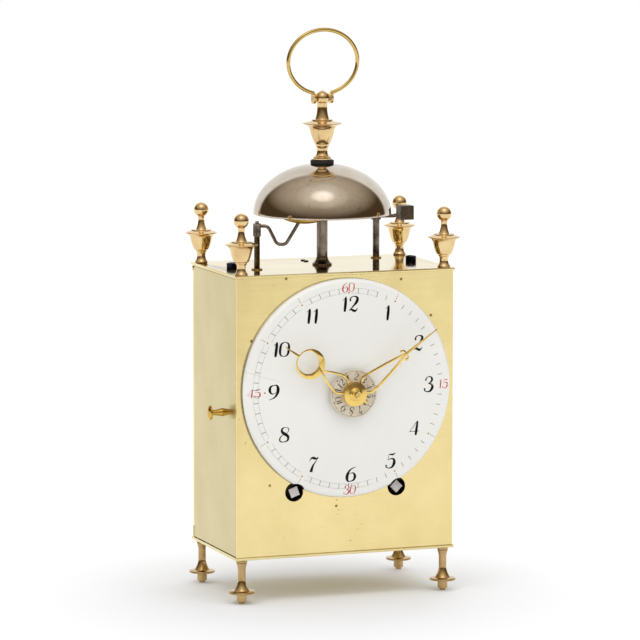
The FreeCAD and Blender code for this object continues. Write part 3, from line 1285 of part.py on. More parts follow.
def plate_screw(x, turn, upside_down):
    """Blued slotted screw through the top plate or, turned over, through the base plate."""
    shank = PLATE_T + PLATE_SCREW_GRIP
    screw = turned((0, -shank), (PLATE_SCREW_SHANK_R, -shank), (PLATE_SCREW_SHANK_R, 0), (PLATE_SCREW_R, 0),
                   (PLATE_SCREW_R, PLATE_SCREW_H - PLATE_SCREW_EDGE),
                   cap(PLATE_SCREW_R, PLATE_SCREW_H - PLATE_SCREW_EDGE, PLATE_SCREW_EDGE))
    slot = block(-PLATE_SCREW_R, PLATE_SCREW_R, -PLATE_SCREW_SLOT / 2, PLATE_SCREW_SLOT / 2,
                 PLATE_SCREW_H - PLATE_SCREW_SLOT_H, PLATE_SCREW_H)
    screw = cut(screw, slot)
    screw.rotate(V(0, 0, 0), V(0, 0, 1), turn)
    if upside_down:
        screw.rotate(V(0, 0, 0), V(1, 0, 0), 180)
    screw.translate(V(x, 0, BASE_Z if upside_down else DECK_Z))
    return screw


def plate_screws():
    """Case screws above and below the movement, and the two small screws of the back cock."""
    screws = [plate_screw(side * PLATE_SCREW_X, side * PLATE_SCREW_TURN, below)
              for _, side in SIDES for below in (False, True)]
    for x, y in COCK_SCREW_AT:
        low = CEILING_Z - BACK_COCK_T
        high = DECK_Z + COCK_SCREW_H
        screw = turned((0, low), (COCK_SCREW_SHANK_R, low), (COCK_SCREW_SHANK_R, DECK_Z),
                       (COCK_SCREW_R, DECK_Z), (COCK_SCREW_R, high), (0, high))
        screw.translate(V(x, y, 0))
        screws.append(screw)
    return Part.makeCompound(screws)


def back_cock():
    """Angle under the top plate that holds the rear pivot of the pallet arbor."""
    leaf_y = min(y for _, y in COCK_SCREW_AT) - 2 * COCK_SCREW_R
    end = BACK_COCK_Y + BACK_COCK_T
    low = PALLET_AT[1] - BACK_COCK_DROP
    leaf = block(-BACK_COCK_HALF, BACK_COCK_HALF, leaf_y, end, CEILING_Z - BACK_COCK_T, CEILING_Z)
    leg = block(-BACK_COCK_HALF, BACK_COCK_HALF, BACK_COCK_Y, end, low, CEILING_Z)
    tools = [rod_z(COCK_SCREW_SHANK_R + SEAT_GAP, x, y, low, CEILING_Z) for x, y in COCK_SCREW_AT]
    tools.append(rod_y(PIVOT_R + RUN_GAP, *PALLET_AT, BACK_COCK_Y, end))
    return cut(fused(leaf, leg), *tools)


def hammer_cock(at, wall_y, low):
    """Bracket on a movement plate for the lower pivot of a hammer arbor."""
    y0, y1 = sorted((wall_y, at[1] + COCK_HALF))
    bracket = block(at[0] - COCK_HALF, at[0] + COCK_HALF, y0, y1, low, low + COCK_T)
    return cut(bracket, rod_z(HAMMER_PIVOT_R + RUN_GAP, *at, low, low + COCK_T))


def alarm_wheel_cock():
    """Angle on the back movement plate that holds the front end of the alarm wheel's arbor."""
    x, z = ALARM_WHEEL_AT
    outer = x - ALARM_COCK_X
    leaf = block(outer, x + COCK_HALF, ALARM_COCK_Y, ALARM_COCK_Y + BACK_COCK_T, z - COCK_HALF, z + COCK_HALF)
    leg = block(outer, outer + BACK_COCK_T, ALARM_COCK_Y, TRAIN_BACK, z - COCK_HALF, z + COCK_HALF)
    return cut(fused(leaf, leg), rod_y(STAFF_R + RUN_GAP, x, z, ALARM_COCK_Y, ALARM_COCK_Y + BACK_COCK_T))


def movement_cocks():
    return Part.makeCompound([back_cock(), alarm_wheel_cock(),
                              hammer_cock(ALARM_AT, TRAIN_FRONT, ALARM_POST_LOW),
                              hammer_cock(STRIKE_AT, MOVEMENT_BACK, STRIKE_POST_LOW)])


# Barrels and winding work
BARREL_LOW = TRAIN_FRONT + BARREL_INSET
BARREL_HIGH = TRAIN_BACK - BARREL_INSET
SPRING_LOW = BARREL_LOW + BARREL_WHEEL_T + SPRING_GAP
SPRING_HIGH = BARREL_HIGH - BARREL_WHEEL_T - SPRING_GAP


def barrel(at, great_y):
    """Closed spring barrel with its great wheel at one end."""
    bore = BARREL_ARBOR_R + RUN_GAP
    wall = BARREL_R - BARREL_T
    low = SPRING_LOW - SPRING_GAP
    high = SPRING_HIGH + SPRING_GAP
    drum = along_y(turned(
        (bore, BARREL_LOW), (BARREL_R, BARREL_LOW), (BARREL_R, BARREL_HIGH), (bore, BARREL_HIGH),
        (bore, high), (wall, high), (wall, low), (bore, low)), *at)
    opening = Part.Wire(Part.makeCircle(wall, V(at[0], 0, at[1]), V(0, 1, 0)))
    teeth = tooth_points(at, BARREL_TEETH, BARREL_MODULE, 0)
    return fused(drum, pierced(teeth, [opening], great_y, BARREL_WHEEL_T))


def mainspring(at):
    """Spiral spring of half turns that step inwards from the barrel's wall."""
    def spiral(reach):
        edges = []
        x = reach
        for half in range(2 * SPRING_TURNS):
            side = 1 if half % 2 == 0 else -1
            end = -side * (abs(x) - SPRING_STEP / 2)
            first = V(at[0] + x, SPRING_LOW, at[1])
            middle = V(at[0] + (x + end) / 2, SPRING_LOW, at[1] + side * abs(x - end) / 2)
            last = V(at[0] + end, SPRING_LOW, at[1])
            edges.append(Part.Arc(first, middle, last).toShape())
            x = end
        return edges

    outer = spiral(BARREL_R - BARREL_T - SPRING_GAP)
    inner = spiral(BARREL_R - BARREL_T - SPRING_GAP - SPRING_T)
    ends = [Part.LineSegment(outer[0].Vertexes[0].Point, inner[0].Vertexes[0].Point).toShape(),
            Part.LineSegment(outer[-1].Vertexes[-1].Point, inner[-1].Vertexes[-1].Point).toShape()]
    wire = Part.Wire(Part.sortEdges(outer + inner + ends)[0])
    return Part.Face(wire).extrude(V(0, SPRING_HIGH - SPRING_LOW, 0))


def winding_arbor(at, square_turn):
    """Barrel arbor with its ratchet in front of the movement and its winding square."""
    shoulder_front = TRAIN_FRONT + FREE_GAP
    shoulder_back = TRAIN_BACK - FREE_GAP
    core = along_y(turned(
        (0, RATCHET_Y), (BARREL_PIVOT_R, RATCHET_Y), (BARREL_PIVOT_R, shoulder_front),
        (BARREL_ARBOR_R, shoulder_front), (BARREL_ARBOR_R, shoulder_back), (BARREL_PIVOT_R, shoulder_back),
        (BARREL_PIVOT_R, MOVEMENT_BACK), (0, MOVEMENT_BACK)), *at)
    points = []
    pitch = 2 * math.pi / RATCHET_TEETH
    for tooth in range(RATCHET_TEETH):
        for reach, share in ((RATCHET_R, 0), (RATCHET_R - RATCHET_DEPTH, RATCHET_LEAN)):
            angle = pitch * (tooth + share)
            points.append((at[0] + reach * math.cos(angle), at[1] + reach * math.sin(angle)))
    ratchet = plate_from(points, RATCHET_Y, RATCHET_Y + RATCHET_T)
    half = SQUARE_SIDE / 2
    square = block(-half, half, -PANEL_Y, RATCHET_Y, -half, half)
    square.rotate(V(0, 0, 0), V(0, 1, 0), square_turn)
    square.translate(V(at[0], 0, at[1]))
    return fused(core, ratchet, square)


def winding_clicks():
    """Clicks beside the two ratchets, each on its stud in the movement's front plate."""
    clicks = []
    for at, turn in ((GOING_BARREL_AT, 180 - CLICK_TURN), (STRIKE_BARREL_AT, CLICK_TURN)):
        stud = polar(*at, CLICK_REACH, turn)
        tip = polar(*at, RATCHET_R + FREE_GAP + CLICK_W / 2, turn - CLICK_BACK)
        half = CLICK_W / 2
        corners = [(stud[0] - half, stud[1]), tip, (stud[0] + half, stud[1] + CLICK_W)]
        lever = plate_from(corners, RATCHET_Y, RATCHET_Y + RATCHET_T)
        clicks.append(fused(rod_y(CLICK_R, *stud, RATCHET_Y, MOVEMENT_FRONT), lever))
    return Part.makeCompound(clicks)


# Going train
def intermediate_wheel():
    phase = mesh_phase(GOING_BARREL_AT, BARREL_TEETH, 0, SECOND_AT, SECOND_LEAVES)
    return train_piece(SECOND_AT, SECOND_TEETH, SECOND_MODULE, SECOND_WHEEL_Y, SECOND_LEAVES, BARREL_MODULE,
                       phase, GOING_GREAT_Y, BARREL_WHEEL_T, staff(SECOND_AT))


def centre_wheel():
    """Centre wheel; its arbor runs on through the cannon pipe to the tip of the hands."""
    phase = mesh_phase(SECOND_AT, SECOND_TEETH, 0, CENTRE_AT, CENTRE_LEAVES)
    return train_piece(CENTRE_AT, CENTRE_TEETH, CENTRE_MODULE, CENTRE_WHEEL_Y, CENTRE_LEAVES, SECOND_MODULE,
                       phase, SECOND_WHEEL_Y, WHEEL_T, staff(CENTRE_AT, HAND_TIP_Y, CENTRE_FRONT_R))


def third_wheel():
    phase = mesh_phase(CENTRE_AT, CENTRE_TEETH, 0, THIRD_AT, THIRD_LEAVES)
    return train_piece(THIRD_AT, THIRD_TEETH, THIRD_MODULE, THIRD_WHEEL_Y, THIRD_LEAVES, CENTRE_MODULE,
                       phase, CENTRE_WHEEL_Y, WHEEL_T, staff(THIRD_AT))


def escape_wheel():
    """Escape wheel with pointed teeth that lean forward, and its pinion."""
    phase = mesh_phase(THIRD_AT, THIRD_TEETH, 0, ESCAPE_AT, ESCAPE_LEAVES)
    pitch = 2 * math.pi / ESCAPE_TEETH
    points = []
    for tooth in range(ESCAPE_TEETH):
        for reach, share in ((ESCAPE_R - ESCAPE_DEPTH, 0), (ESCAPE_R, ESCAPE_LEAN)):
            angle = pitch * (tooth + share)
            points.append((ESCAPE_AT[0] + reach * math.cos(angle), ESCAPE_AT[1] + reach * math.sin(angle)))
    step = 2 * math.pi / SPOKES
    rim_r = ESCAPE_R - ESCAPE_DEPTH - WHEEL_RIM
    holes = [crossing(ESCAPE_AT, WHEEL_HUB_R, rim_r, step * k, step * (k + 1)) for k in range(SPOKES)]
    disc = pierced(points, holes, ESCAPE_WHEEL_Y, WHEEL_T)
    leaf = pinion(ESCAPE_AT, ESCAPE_LEAVES, THIRD_MODULE, phase, THIRD_WHEEL_Y, WHEEL_T)
    return fused(staff(ESCAPE_AT), disc, leaf)


def pallet_anchor():
    """Anchor over the escape wheel, on an arbor that reaches to the back cock."""
    tip_r = ESCAPE_R + PALLET_CLEAR
    tip = polar(*ESCAPE_AT, tip_r, PALLET_TURN)
    knee = (tip[0] + PALLET_ARM_W, tip[1] + PALLET_KNEE * PALLET_ARM_W)
    rise = ((tip[0] + PALLET_ARM_W) / 2, PALLET_AT[1] + PALLET_ARM_W / 2)
    pieces = []
    for side in (1, -1):
        arm = band((0, PALLET_AT[1]), (side * rise[0], rise[1] - PALLET_ARM_W / 2), (side * knee[0], knee[1]),
                   PALLET_ARM_W)
        nib = [(side * tip[0], tip[1]), (side * (knee[0] + PALLET_ARM_W / 2), knee[1]),
               (side * (knee[0] - PALLET_ARM_W / 2), knee[1] + PALLET_ARM_W / 2)]
        pieces.append(plate_from(arm, ESCAPE_WHEEL_Y, ESCAPE_WHEEL_Y + WHEEL_T))
        pieces.append(plate_from(nib, ESCAPE_WHEEL_Y, ESCAPE_WHEEL_Y + WHEEL_T))
    hub = rod_y(PALLET_HUB_R, *PALLET_AT, ESCAPE_WHEEL_Y, ESCAPE_WHEEL_Y + WHEEL_T)
    shoulder_front = TRAIN_FRONT + FREE_GAP
    shoulder_back = BACK_COCK_Y - FREE_GAP
    arbor = along_y(turned(
        (0, MOVEMENT_FRONT), (PIVOT_R, MOVEMENT_FRONT), (PIVOT_R, shoulder_front), (STAFF_R, shoulder_front),
        (STAFF_R, shoulder_back), (PIVOT_R, shoulder_back), (PIVOT_R, BACK_COCK_Y + BACK_COCK_T),
        (0, BACK_COCK_Y + BACK_COCK_T)), *PALLET_AT)
    return fused(arbor, hub, *pieces)


def pendulum():
    """Short pendulum on the pallet arbor: hub, rod, lens bob and rating nut."""
    x, z = PALLET_AT
    bob_z = z - PENDULUM_L
    hub = rod_y(PENDULUM_HUB_R, x, z, PENDULUM_Y - PENDULUM_HUB_L / 2, PENDULUM_Y + PENDULUM_HUB_L / 2)
    line = rod_z(PENDULUM_ROD_R, x, PENDULUM_Y, bob_z - BOB_R - NUT_H, z)
    edge = BOB_EDGE / 2
    rise = BOB_T / 2 - edge
    front_middle, front = cap(BOB_R, edge, rise)
    back_middle = (front_middle[0], -front_middle[1])
    lens = turned((0, -front[1]), (back_middle, (BOB_R, -edge)), (BOB_R, edge), (front_middle, front))
    lens = along_y(lens, x, bob_z, PENDULUM_Y)
    nut = rod_z(NUT_R, x, PENDULUM_Y, bob_z - BOB_R - NUT_H, bob_z - BOB_R)
    return cut(fused(hub, line, lens, nut), rod_y(STAFF_R, x, z, TRAIN_BACK, BACK_COCK_Y))


# Strike train
def strike_second_wheel():
    phase = mesh_phase(STRIKE_BARREL_AT, BARREL_TEETH, 0, STRIKE_SECOND_AT, STRIKE_SECOND_LEAVES)
    return train_piece(STRIKE_SECOND_AT, STRIKE_SECOND_TEETH, STRIKE_SECOND_MODULE, STRIKE_SECOND_Y,
                       STRIKE_SECOND_LEAVES, BARREL_MODULE, phase, STRIKE_GREAT_Y, BARREL_WHEEL_T,
                       staff(STRIKE_SECOND_AT))


def pin_wheel():
    """Pin wheel with the pins that lift the hammer's tail."""
    phase = mesh_phase(STRIKE_SECOND_AT, STRIKE_SECOND_TEETH, 0, PIN_AT, PIN_LEAVES)
    shape = train_piece(PIN_AT, PIN_TEETH, PIN_MODULE, PIN_WHEEL_Y, PIN_LEAVES, STRIKE_SECOND_MODULE,
                        phase, STRIKE_SECOND_Y, WHEEL_T, staff(PIN_AT))
    back = PIN_WHEEL_Y + WHEEL_T
    pins = [rod_y(PIN_R, *polar(*PIN_AT, PIN_CIRCLE_R, 360 / PIN_COUNT * k), PIN_WHEEL_Y, back + PIN_L)
            for k in range(PIN_COUNT)]
    return fused(shape, *pins)


def warning_wheel():
    phase = mesh_phase(PIN_AT, PIN_TEETH, 0, WARNING_AT, WARNING_LEAVES)
    return train_piece(WARNING_AT, WARNING_TEETH, WARNING_MODULE, WARNING_WHEEL_Y, WARNING_LEAVES, PIN_MODULE,
                       phase, PIN_WHEEL_Y, WHEEL_T, staff(WARNING_AT))


def fly():
    """Air brake: two vanes on the last pinion of the strike train."""
    phase = mesh_phase(WARNING_AT, WARNING_TEETH, 0, FLY_AT, FLY_LEAVES)
    leaf = pinion(FLY_AT, FLY_LEAVES, WARNING_MODULE, phase, WARNING_WHEEL_Y, WHEEL_T)
    vanes = block(FLY_AT[0] - FLY_R, FLY_AT[0] + FLY_R, TRAIN_FRONT + FLY_INSET,
                  WARNING_WHEEL_Y - FLY_INSET / 2, FLY_AT[1] - FLY_T / 2, FLY_AT[1] + FLY_T / 2)
    return fused(staff(FLY_AT), leaf, vanes)


# Alarm work
def alarm_crown_wheel():
    """Crown wheel of the alarm on the arbor of its spring drum, with a square at the back."""
    x, z = ALARM_WHEEL_AT
    crown_back = CROWN_TIP_Y + CROWN_H
    cup = along_y(turned(
        (CROWN_R - CROWN_WALL, CROWN_TIP_Y), (CROWN_R, CROWN_TIP_Y), (CROWN_R, crown_back), (0, crown_back),
        (0, crown_back - CROWN_WEB), (CROWN_R - CROWN_WALL, crown_back - CROWN_WEB)), x, z)
    pitch = 2 * math.pi / CROWN_TEETH
    half_gap = CROWN_NOTCH * CROWN_R * pitch / 2
    corners = [V(0, -half_gap, 0), V(0, half_gap, 0), V(0, -half_gap, CROWN_DEPTH), V(0, -half_gap, 0)]
    notch = Part.Face(Part.makePolygon(corners)).extrude(V(2 * CROWN_R, 0, 0))
    notches = []
    for tooth in range(CROWN_TEETH):
        tool = notch.copy()
        tool.rotate(V(0, 0, 0), V(0, 0, 1), math.degrees(pitch * tooth))
        notches.append(along_y(tool, x, z, CROWN_TIP_Y))
    arbor = along_y(turned(
        (0, crown_back - CROWN_WEB), (STAFF_R, crown_back - CROWN_WEB), (STAFF_R, MOVEMENT_BACK + FREE_GAP),
        (0, MOVEMENT_BACK + FREE_GAP)), x, z)
    drum = rod_y(ALARM_DRUM_R, x, z, ALARM_DRUM_Y, ALARM_DRUM_Y + ALARM_DRUM_L)
    half = ALARM_SQUARE / 2
    square = block(x - half, x + half, MOVEMENT_BACK + FREE_GAP / 2, MOVEMENT_BACK + ALARM_SQUARE_L,
                   z - half, z + half)
    return fused(cut(cup, *notches), arbor, drum, square)


def pieces():
    """Every named piece of the clock, with the function that makes it."""
    made = {
        "base_plate": base_plate, "top_plate": top_plate, "front_plate": front_plate,
        "corner_posts": corner_posts, "dial": dial, "bell_standard": bell_standard, "bell": bell,
        "bell_washer": bell_washer, "handle_finial": handle_finial, "handle_pin": handle_pin,
        "plate_screws": plate_screws, "hammer_bushes": hammer_bushes, "door_hinge_rods": hinge_rods,
        "movement_front_plate": movement_front_plate, "movement_back_plate": movement_back_plate,
        "movement_pillars": movement_pillars, "winding_clicks": winding_clicks,
        "movement_cocks": movement_cocks, "back_door": back_door, "back_door_knob": back_knob,
        "carrying_ring": carrying_ring, "alarm_arbor": alarm_arbor, "alarm_head": alarm_head,
        "strike_arbor": strike_arbor, "strike_head": strike_head, "minute_hand": minute_hand,
        "cannon_pinion": cannon_pinion, "hour_hand": hour_hand,
        "hour_wheel": hour_wheel, "alarm_disc": alarm_disc, "minute_wheel": minute_wheel,
        "intermediate_wheel": intermediate_wheel, "centre_wheel": centre_wheel, "third_wheel": third_wheel,
        "escape_wheel": escape_wheel, "pallet_anchor": pallet_anchor, "pendulum": pendulum,
        "strike_second_wheel": strike_second_wheel, "pin_wheel": pin_wheel, "warning_wheel": warning_wheel,
        "fly": fly, "alarm_crown_wheel": alarm_crown_wheel}
    for name, x, y in post_places():
        made[f"foot_{name}"] = lambda x=x, y=y: foot(x, y)
        made[f"finial_{name}"] = lambda x=x, y=y: corner_finial(x, y)
    for name, side in SIDES:
        made[f"{name}_door"] = lambda side=side: side_door(side)
        made[f"{name}_door_knob"] = lambda side=side: side_knob(side)
    for name, at, great_y, turn in (("going", GOING_BARREL_AT, GOING_GREAT_Y, GOING_SQUARE_TURN),
                                    ("strike", STRIKE_BARREL_AT, STRIKE_GREAT_Y, STRIKE_SQUARE_TURN)):
        made[f"{name}_barrel"] = lambda at=at, great_y=great_y: barrel(at, great_y)
        made[f"{name}_mainspring"] = lambda at=at: mainspring(at)
        made[f"{name}_winding_arbor"] = lambda at=at, turn=turn: winding_arbor(at, turn)
    return made


def main():
    os.makedirs("parts", exist_ok=True)
    for name, make in pieces().items():
        shape = make()
        shape.translate(V(0, CASE_SHIFT, 0))
        shape.exportStep(f"parts/{name}.step")


if __name__ == "__main__":
    main()
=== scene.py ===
# %% [markdown]
# # A brass travelling clock with a bell
# The clock is a box of thin brass plates on four turned feet. A white enamel dial
# fills its front, a bell stands on a steel column above the case, and a ring on a
# turned finial carries it. The solids of every piece are loaded first. They fix each
# place and size, and the looks are built around them.

# %% Load the solids and measure them
import json
import math
from contextlib import contextmanager

import bpy
from mathutils import Matrix, Vector


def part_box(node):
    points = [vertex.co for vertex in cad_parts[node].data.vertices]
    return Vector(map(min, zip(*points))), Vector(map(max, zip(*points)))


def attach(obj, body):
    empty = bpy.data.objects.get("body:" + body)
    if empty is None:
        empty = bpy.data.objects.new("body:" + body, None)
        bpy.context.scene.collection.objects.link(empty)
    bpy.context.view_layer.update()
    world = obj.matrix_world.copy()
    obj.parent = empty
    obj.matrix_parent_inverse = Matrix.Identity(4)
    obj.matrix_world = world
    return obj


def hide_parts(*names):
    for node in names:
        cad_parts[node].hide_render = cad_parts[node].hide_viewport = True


MM = 0.001
CASE_Y = 5.1            # middle of the case behind the origin, in millimetres

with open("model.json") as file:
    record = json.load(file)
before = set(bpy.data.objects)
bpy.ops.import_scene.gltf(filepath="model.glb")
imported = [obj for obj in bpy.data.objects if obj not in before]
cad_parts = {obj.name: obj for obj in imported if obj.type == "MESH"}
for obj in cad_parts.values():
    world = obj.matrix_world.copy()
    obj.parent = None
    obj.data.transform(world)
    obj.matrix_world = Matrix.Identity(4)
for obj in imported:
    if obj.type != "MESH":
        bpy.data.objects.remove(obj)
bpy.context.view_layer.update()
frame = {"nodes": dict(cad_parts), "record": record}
body_of = {node: body for body, nodes in frame["record"]["behaviour"]["bodies"].items() for node in nodes}

# %% [markdown]
# ## Numbers that a finish can add and multiply
# A finish is a small net of nodes. Wiring it by hand is slow to read, so one class
# wraps a socket and lets it stand in a sum or a product, and a second class keeps the
# node tree of one finish. After that a pattern reads like the formula that it is.


# %% A socket that takes part in sums
class Tint:
    """An output socket of a finish, which can be added, taken away and multiplied."""

    def __init__(self, paint, socket):
        self.paint = paint
        self.socket = socket

    def __add__(self, other):
        return self.paint.math("ADD", self, other)

    def __sub__(self, other):
        return self.paint.math("SUBTRACT", self, other)

    def __rsub__(self, other):
        return self.paint.math("SUBTRACT", other, self)

    def __mul__(self, other):
        return self.paint.math("MULTIPLY", self, other)

    __radd__ = __add__
    __rmul__ = __mul__


print("made:", Tint.__doc__)


# %% The node tree of one finish
class Paint:
    """A finish, or the surround: its node tree, and short ways to add nodes to it."""

    def __init__(self, name, around=False):
        self.material = bpy.data.worlds.new(name) if around else bpy.data.materials.new(name)
        self.material.use_nodes = True
        self.tree = self.material.node_tree
        self.shader = self.tree.nodes["Background" if around else "Principled BSDF"]
        self.place = self.node("TexCoord", {}, {}, "Generated" if around else "Object")

    def feed(self, socket, value):
        if isinstance(value, Tint):
            self.tree.links.new(value.socket, socket)
        else:
            socket.default_value = value

    def node(self, kind, settings, sockets, output=0):
        """Add a node: first its settings, then the values or links of its sockets."""
        made = self.tree.nodes.new("ShaderNode" + kind)
        for name, value in settings.items():
            setattr(made, name, value)
        for key, value in sockets.items():
            self.feed(made.inputs[key], value)
        return Tint(self, made.outputs[output])

    def math(self, operation, first, second):
        return self.node("Math", {"operation": operation}, {0: first, 1: second})

    def mix(self, share, first, second):
        """Blend two colours by a share from 0 to 1."""
        return self.node("Mix", {"data_type": "RGBA"}, {0: share, 6: first, 7: second}, 2)

    def stretched(self, scale):
        """The place on the piece, stretched by a factor along each axis."""
        return self.node("Mapping", {}, {"Vector": self.place, "Scale": scale})

    def coordinates(self):
        """The place on the piece as three numbers: across, along and up."""
        split = self.node("SeparateXYZ", {}, {0: self.place}).socket.node
        return [Tint(self, output) for output in split.outputs]

    def facing(self, way):
        """Cosine of the angle between the way one looks and a direction."""
        return self.node("VectorMath", {"operation": "DOT_PRODUCT"}, {0: self.place, 1: way}, "Value")

    def noise(self, scale, detail=4.0, place=None):
        sockets = {"Vector": place or self.place, "Scale": scale, "Detail": detail, "Roughness": 0.6}
        return self.node("TexNoise", {}, sockets)

    def between(self, value, low, high):
        """0 below one value, 1 above another, and even between them."""
        return self.node("MapRange", {"clamp": True}, {0: value, 1: low, 2: high, 3: 0.0, 4: 1.0})

    def bump(self, height, strength, distance):
        self.feed(self.shader.inputs["Normal"], self.node(
            "Bump", {}, {"Height": height, "Strength": strength, "Distance": distance}))

    def finish(self, **sockets):
        for name, value in sockets.items():
            self.feed(self.shader.inputs[name.replace("_", " ").title().replace("Ior", "IOR")], value)
        return self.material


print("made:", Paint.__doc__)


# %% Colours
def shade(red, green, blue):
    """A colour given as 0 to 255 on a screen, as the light values that a shader takes."""
    linear = [(c / 255 / 12.92) if c < 11 else ((c / 255 + 0.055) / 1.055) ** 2.4 for c in (red, green, blue)]
    return (*linear, 1.0)


print("middle grey as light:", round(shade(128, 128, 128)[0], 3))

# %% [markdown]
# ## Brass, worn by two centuries of polishing
# Rolled brass sheet has faint cloudy patches, a fine grain along the way it was rubbed,
# and small brown pits. Turned brass keeps thin rings from the lathe. Both are the same
# finish with other numbers: clouds mix a light and a deep tone, a stretched noise gives
# the grain, and a sharp cut through a fine noise leaves the pits.

# %% Sheet brass
BROWN_PIT = shade(104, 72, 38)
SHEETS = {      # light and deep tone, roughness, and how the grain is stretched
    "rolled_brass": (shade(238, 222, 166), shade(226, 206, 146), 0.11, (1.0, 0.05, 1.0)),
    "front_brass": (shade(243, 224, 163), shade(237, 216, 152), 0.20, (0.04, 1.0, 1.0)),
    # painted shade: the doors are the case brass in a darker copy, as the sides look under the light
    "door_brass": (shade(210, 196, 146), shade(202, 187, 134), 0.19, (1.0, 1.0, 0.05)),
    "works_brass": (shade(226, 196, 122), shade(200, 166, 96), 0.30, (1.0, 1.0, 0.06)),
    "pin_brass": (shade(188, 158, 97), shade(158, 128, 71), 0.45, (1.0, 1.0, 1.0)),
}


def sheet_brass(name, light, deep, rough, grain):
    """Rubbed brass sheet: cloudy tone, fine grain along one way and a few brown pits."""
    paint = Paint(name)
    clouds = paint.between(paint.noise(24.0, 5.0), 0.35, 0.68)
    rub = paint.noise(900.0, 3.0, paint.stretched(grain))
    fine = paint.noise(520.0, 2.0)
    pits = paint.between(fine, 0.70, 0.76) * paint.between(paint.noise(45.0), 0.45, 0.62)
    tone = paint.mix(clouds, light, deep)
    paint.bump(rub - 0.6 * pits, 0.10, 0.00004)
    return paint.finish(
        base_color=paint.mix(0.75 * pits, tone, BROWN_PIT), metallic=1.0 - 0.5 * pits,
        roughness=rough + 0.06 * (clouds - 0.5) + 0.08 * (rub - 0.5) + 0.25 * pits)


finishes = {name: sheet_brass(name, *look) for name, look in SHEETS.items()}
print("sheet finishes:", len(finishes))

# %% Turned brass
LATHE_WAY = (0.02, 0.02, 1.0)       # rings round the upright axis
LATHE_RINGS = 1500.0
TURNED = {      # light and deep tone, and roughness
    "turned_brass": (shade(238, 209, 156), shade(200, 162, 110), 0.06),
    "foot_brass": (shade(202, 172, 122), shade(166, 132, 84), 0.10),
    "knob_brass": (shade(220, 183, 90), shade(178, 136, 52), 0.14),
    "ring_brass": (shade(222, 194, 120), shade(184, 150, 80), 0.10),
}


def turned_brass(name, light, deep, rough):
    """Polished turned brass: thin rings from the lathe and a deeper tone in patches."""
    paint = Paint(name)
    clouds = paint.between(paint.noise(90.0, 5.0), 0.36, 0.70)
    lathe = paint.noise(LATHE_RINGS, 1.0, paint.stretched(LATHE_WAY))
    tarnish = paint.between(paint.noise(260.0, 4.0), 0.58, 0.74)
    paint.bump(lathe, 0.12, 0.00005)
    return paint.finish(
        base_color=paint.mix(0.55 * clouds + 0.35 * tarnish, light, deep), metallic=1.0,
        roughness=rough + 0.05 * clouds + 0.10 * tarnish + 0.04 * lathe)


finishes.update({name: turned_brass(name, *look) for name, look in TURNED.items()})
print("brass finishes:", len(finishes))

# %% [markdown]
# ## Gilt, bell metal, steel and leather
# The hands are polished gold-coloured brass. The bell is a greyer bronze with lathe
# rings, the column and wires are dark oiled steel, the screws are blued, and a black
# leather washer sits between the bell and its finial.


# %% Gilt hands and bell metal
def gilt(name):
    paint = Paint(name)
    clouds = paint.noise(160.0, 3.0)
    paint.bump(paint.noise(1400.0, 2.0), 0.05, 0.00003)
    return paint.finish(base_color=paint.mix(clouds, shade(252, 222, 136), shade(234, 196, 104)),
                        metallic=1.0, roughness=0.18 + 0.08 * clouds)


def bell_bronze(name):
    """Grey bronze with rings from the lathe, spots of tarnish and a soft polish."""
    paint = Paint(name)
    clouds = paint.between(paint.noise(46.0, 6.0), 0.34, 0.70)
    lathe = paint.noise(1100.0, 2.0, paint.stretched(LATHE_WAY))
    spots = paint.between(paint.noise(420.0, 3.0), 0.60, 0.72)
    paint.bump(lathe - 0.3 * spots, 0.10, 0.00006)
    tone = paint.mix(clouds, shade(210, 200, 186), shade(186, 172, 154))
    return paint.finish(base_color=paint.mix(0.4 * spots, tone, shade(130, 108, 88)), metallic=1.0,
                        roughness=0.06 + 0.04 * clouds + 0.08 * spots + 0.03 * lathe)


finishes["gilt_hands"] = gilt("gilt_hands")
finishes["bell_metal"] = bell_bronze("bell_metal")
print("finishes so far:", len(finishes))


# %% Steels and leather
def steel(name, light, deep, rough):
    paint = Paint(name)
    clouds = paint.between(paint.noise(150.0, 5.0), 0.35, 0.68)
    paint.bump(paint.noise(1800.0, 2.0), 0.10, 0.00004)
    return paint.finish(base_color=paint.mix(clouds, light, deep), metallic=1.0,
                        roughness=rough + 0.18 * clouds)


def black_leather(name):
    paint = Paint(name)
    creases = paint.node("TexVoronoi", {"feature": "DISTANCE_TO_EDGE"},
                         {"Vector": paint.place, "Scale": 1400.0}, "Distance")
    paint.bump(creases, 0.5, 0.0002)
    worn = paint.noise(300.0, 4.0)
    return paint.finish(base_color=paint.mix(worn, shade(20, 19, 19), shade(46, 42, 38)),
                        roughness=0.55 + 0.25 * worn)


STEELS = {      # light and deep tone, and roughness
    "steel": (shade(230, 226, 223), shade(200, 196, 192), 0.34),
    "dark_steel": (shade(146, 135, 122), shade(86, 76, 66), 0.16),
    # painted shade: the strike head's dark tone stands in for the shadow of the bell above it
    "shaded_head_steel": (shade(112, 100, 86), shade(64, 54, 44), 0.36),
    "column_steel": (shade(138, 127, 113), shade(104, 93, 81), 0.05),
    "blued_steel": (shade(40, 44, 62), shade(18, 19, 28), 0.20),
}
finishes.update({name: steel(name, *look) for name, look in STEELS.items()})
finishes["washer_leather"] = black_leather("washer_leather")
print("finishes:", ", ".join(sorted(finishes)))

# %% [markdown]
# ## Enamel and the silvered alarm disc
# Enamel is glass fused on a copper plate: a milky white with a clear gloss on top. This
# one has a hairline crack on its left side, a few grey specks and a dark edge, partly
# where the copper shows and partly painted shade of the gap to the front plate. The
# alarm disc is matte silvered brass, yellowed by time.

# %% Enamel
FRONT_Y = CASE_Y - 35.3                 # front face of the case
DIAL_AT = (0.0, FRONT_Y, 110.6)         # middle of the dial's back edge
CRACK_FROM = (-54.5, 10.5)              # on the dial, from its middle
CRACK_TO = (-36.0, 5.2)


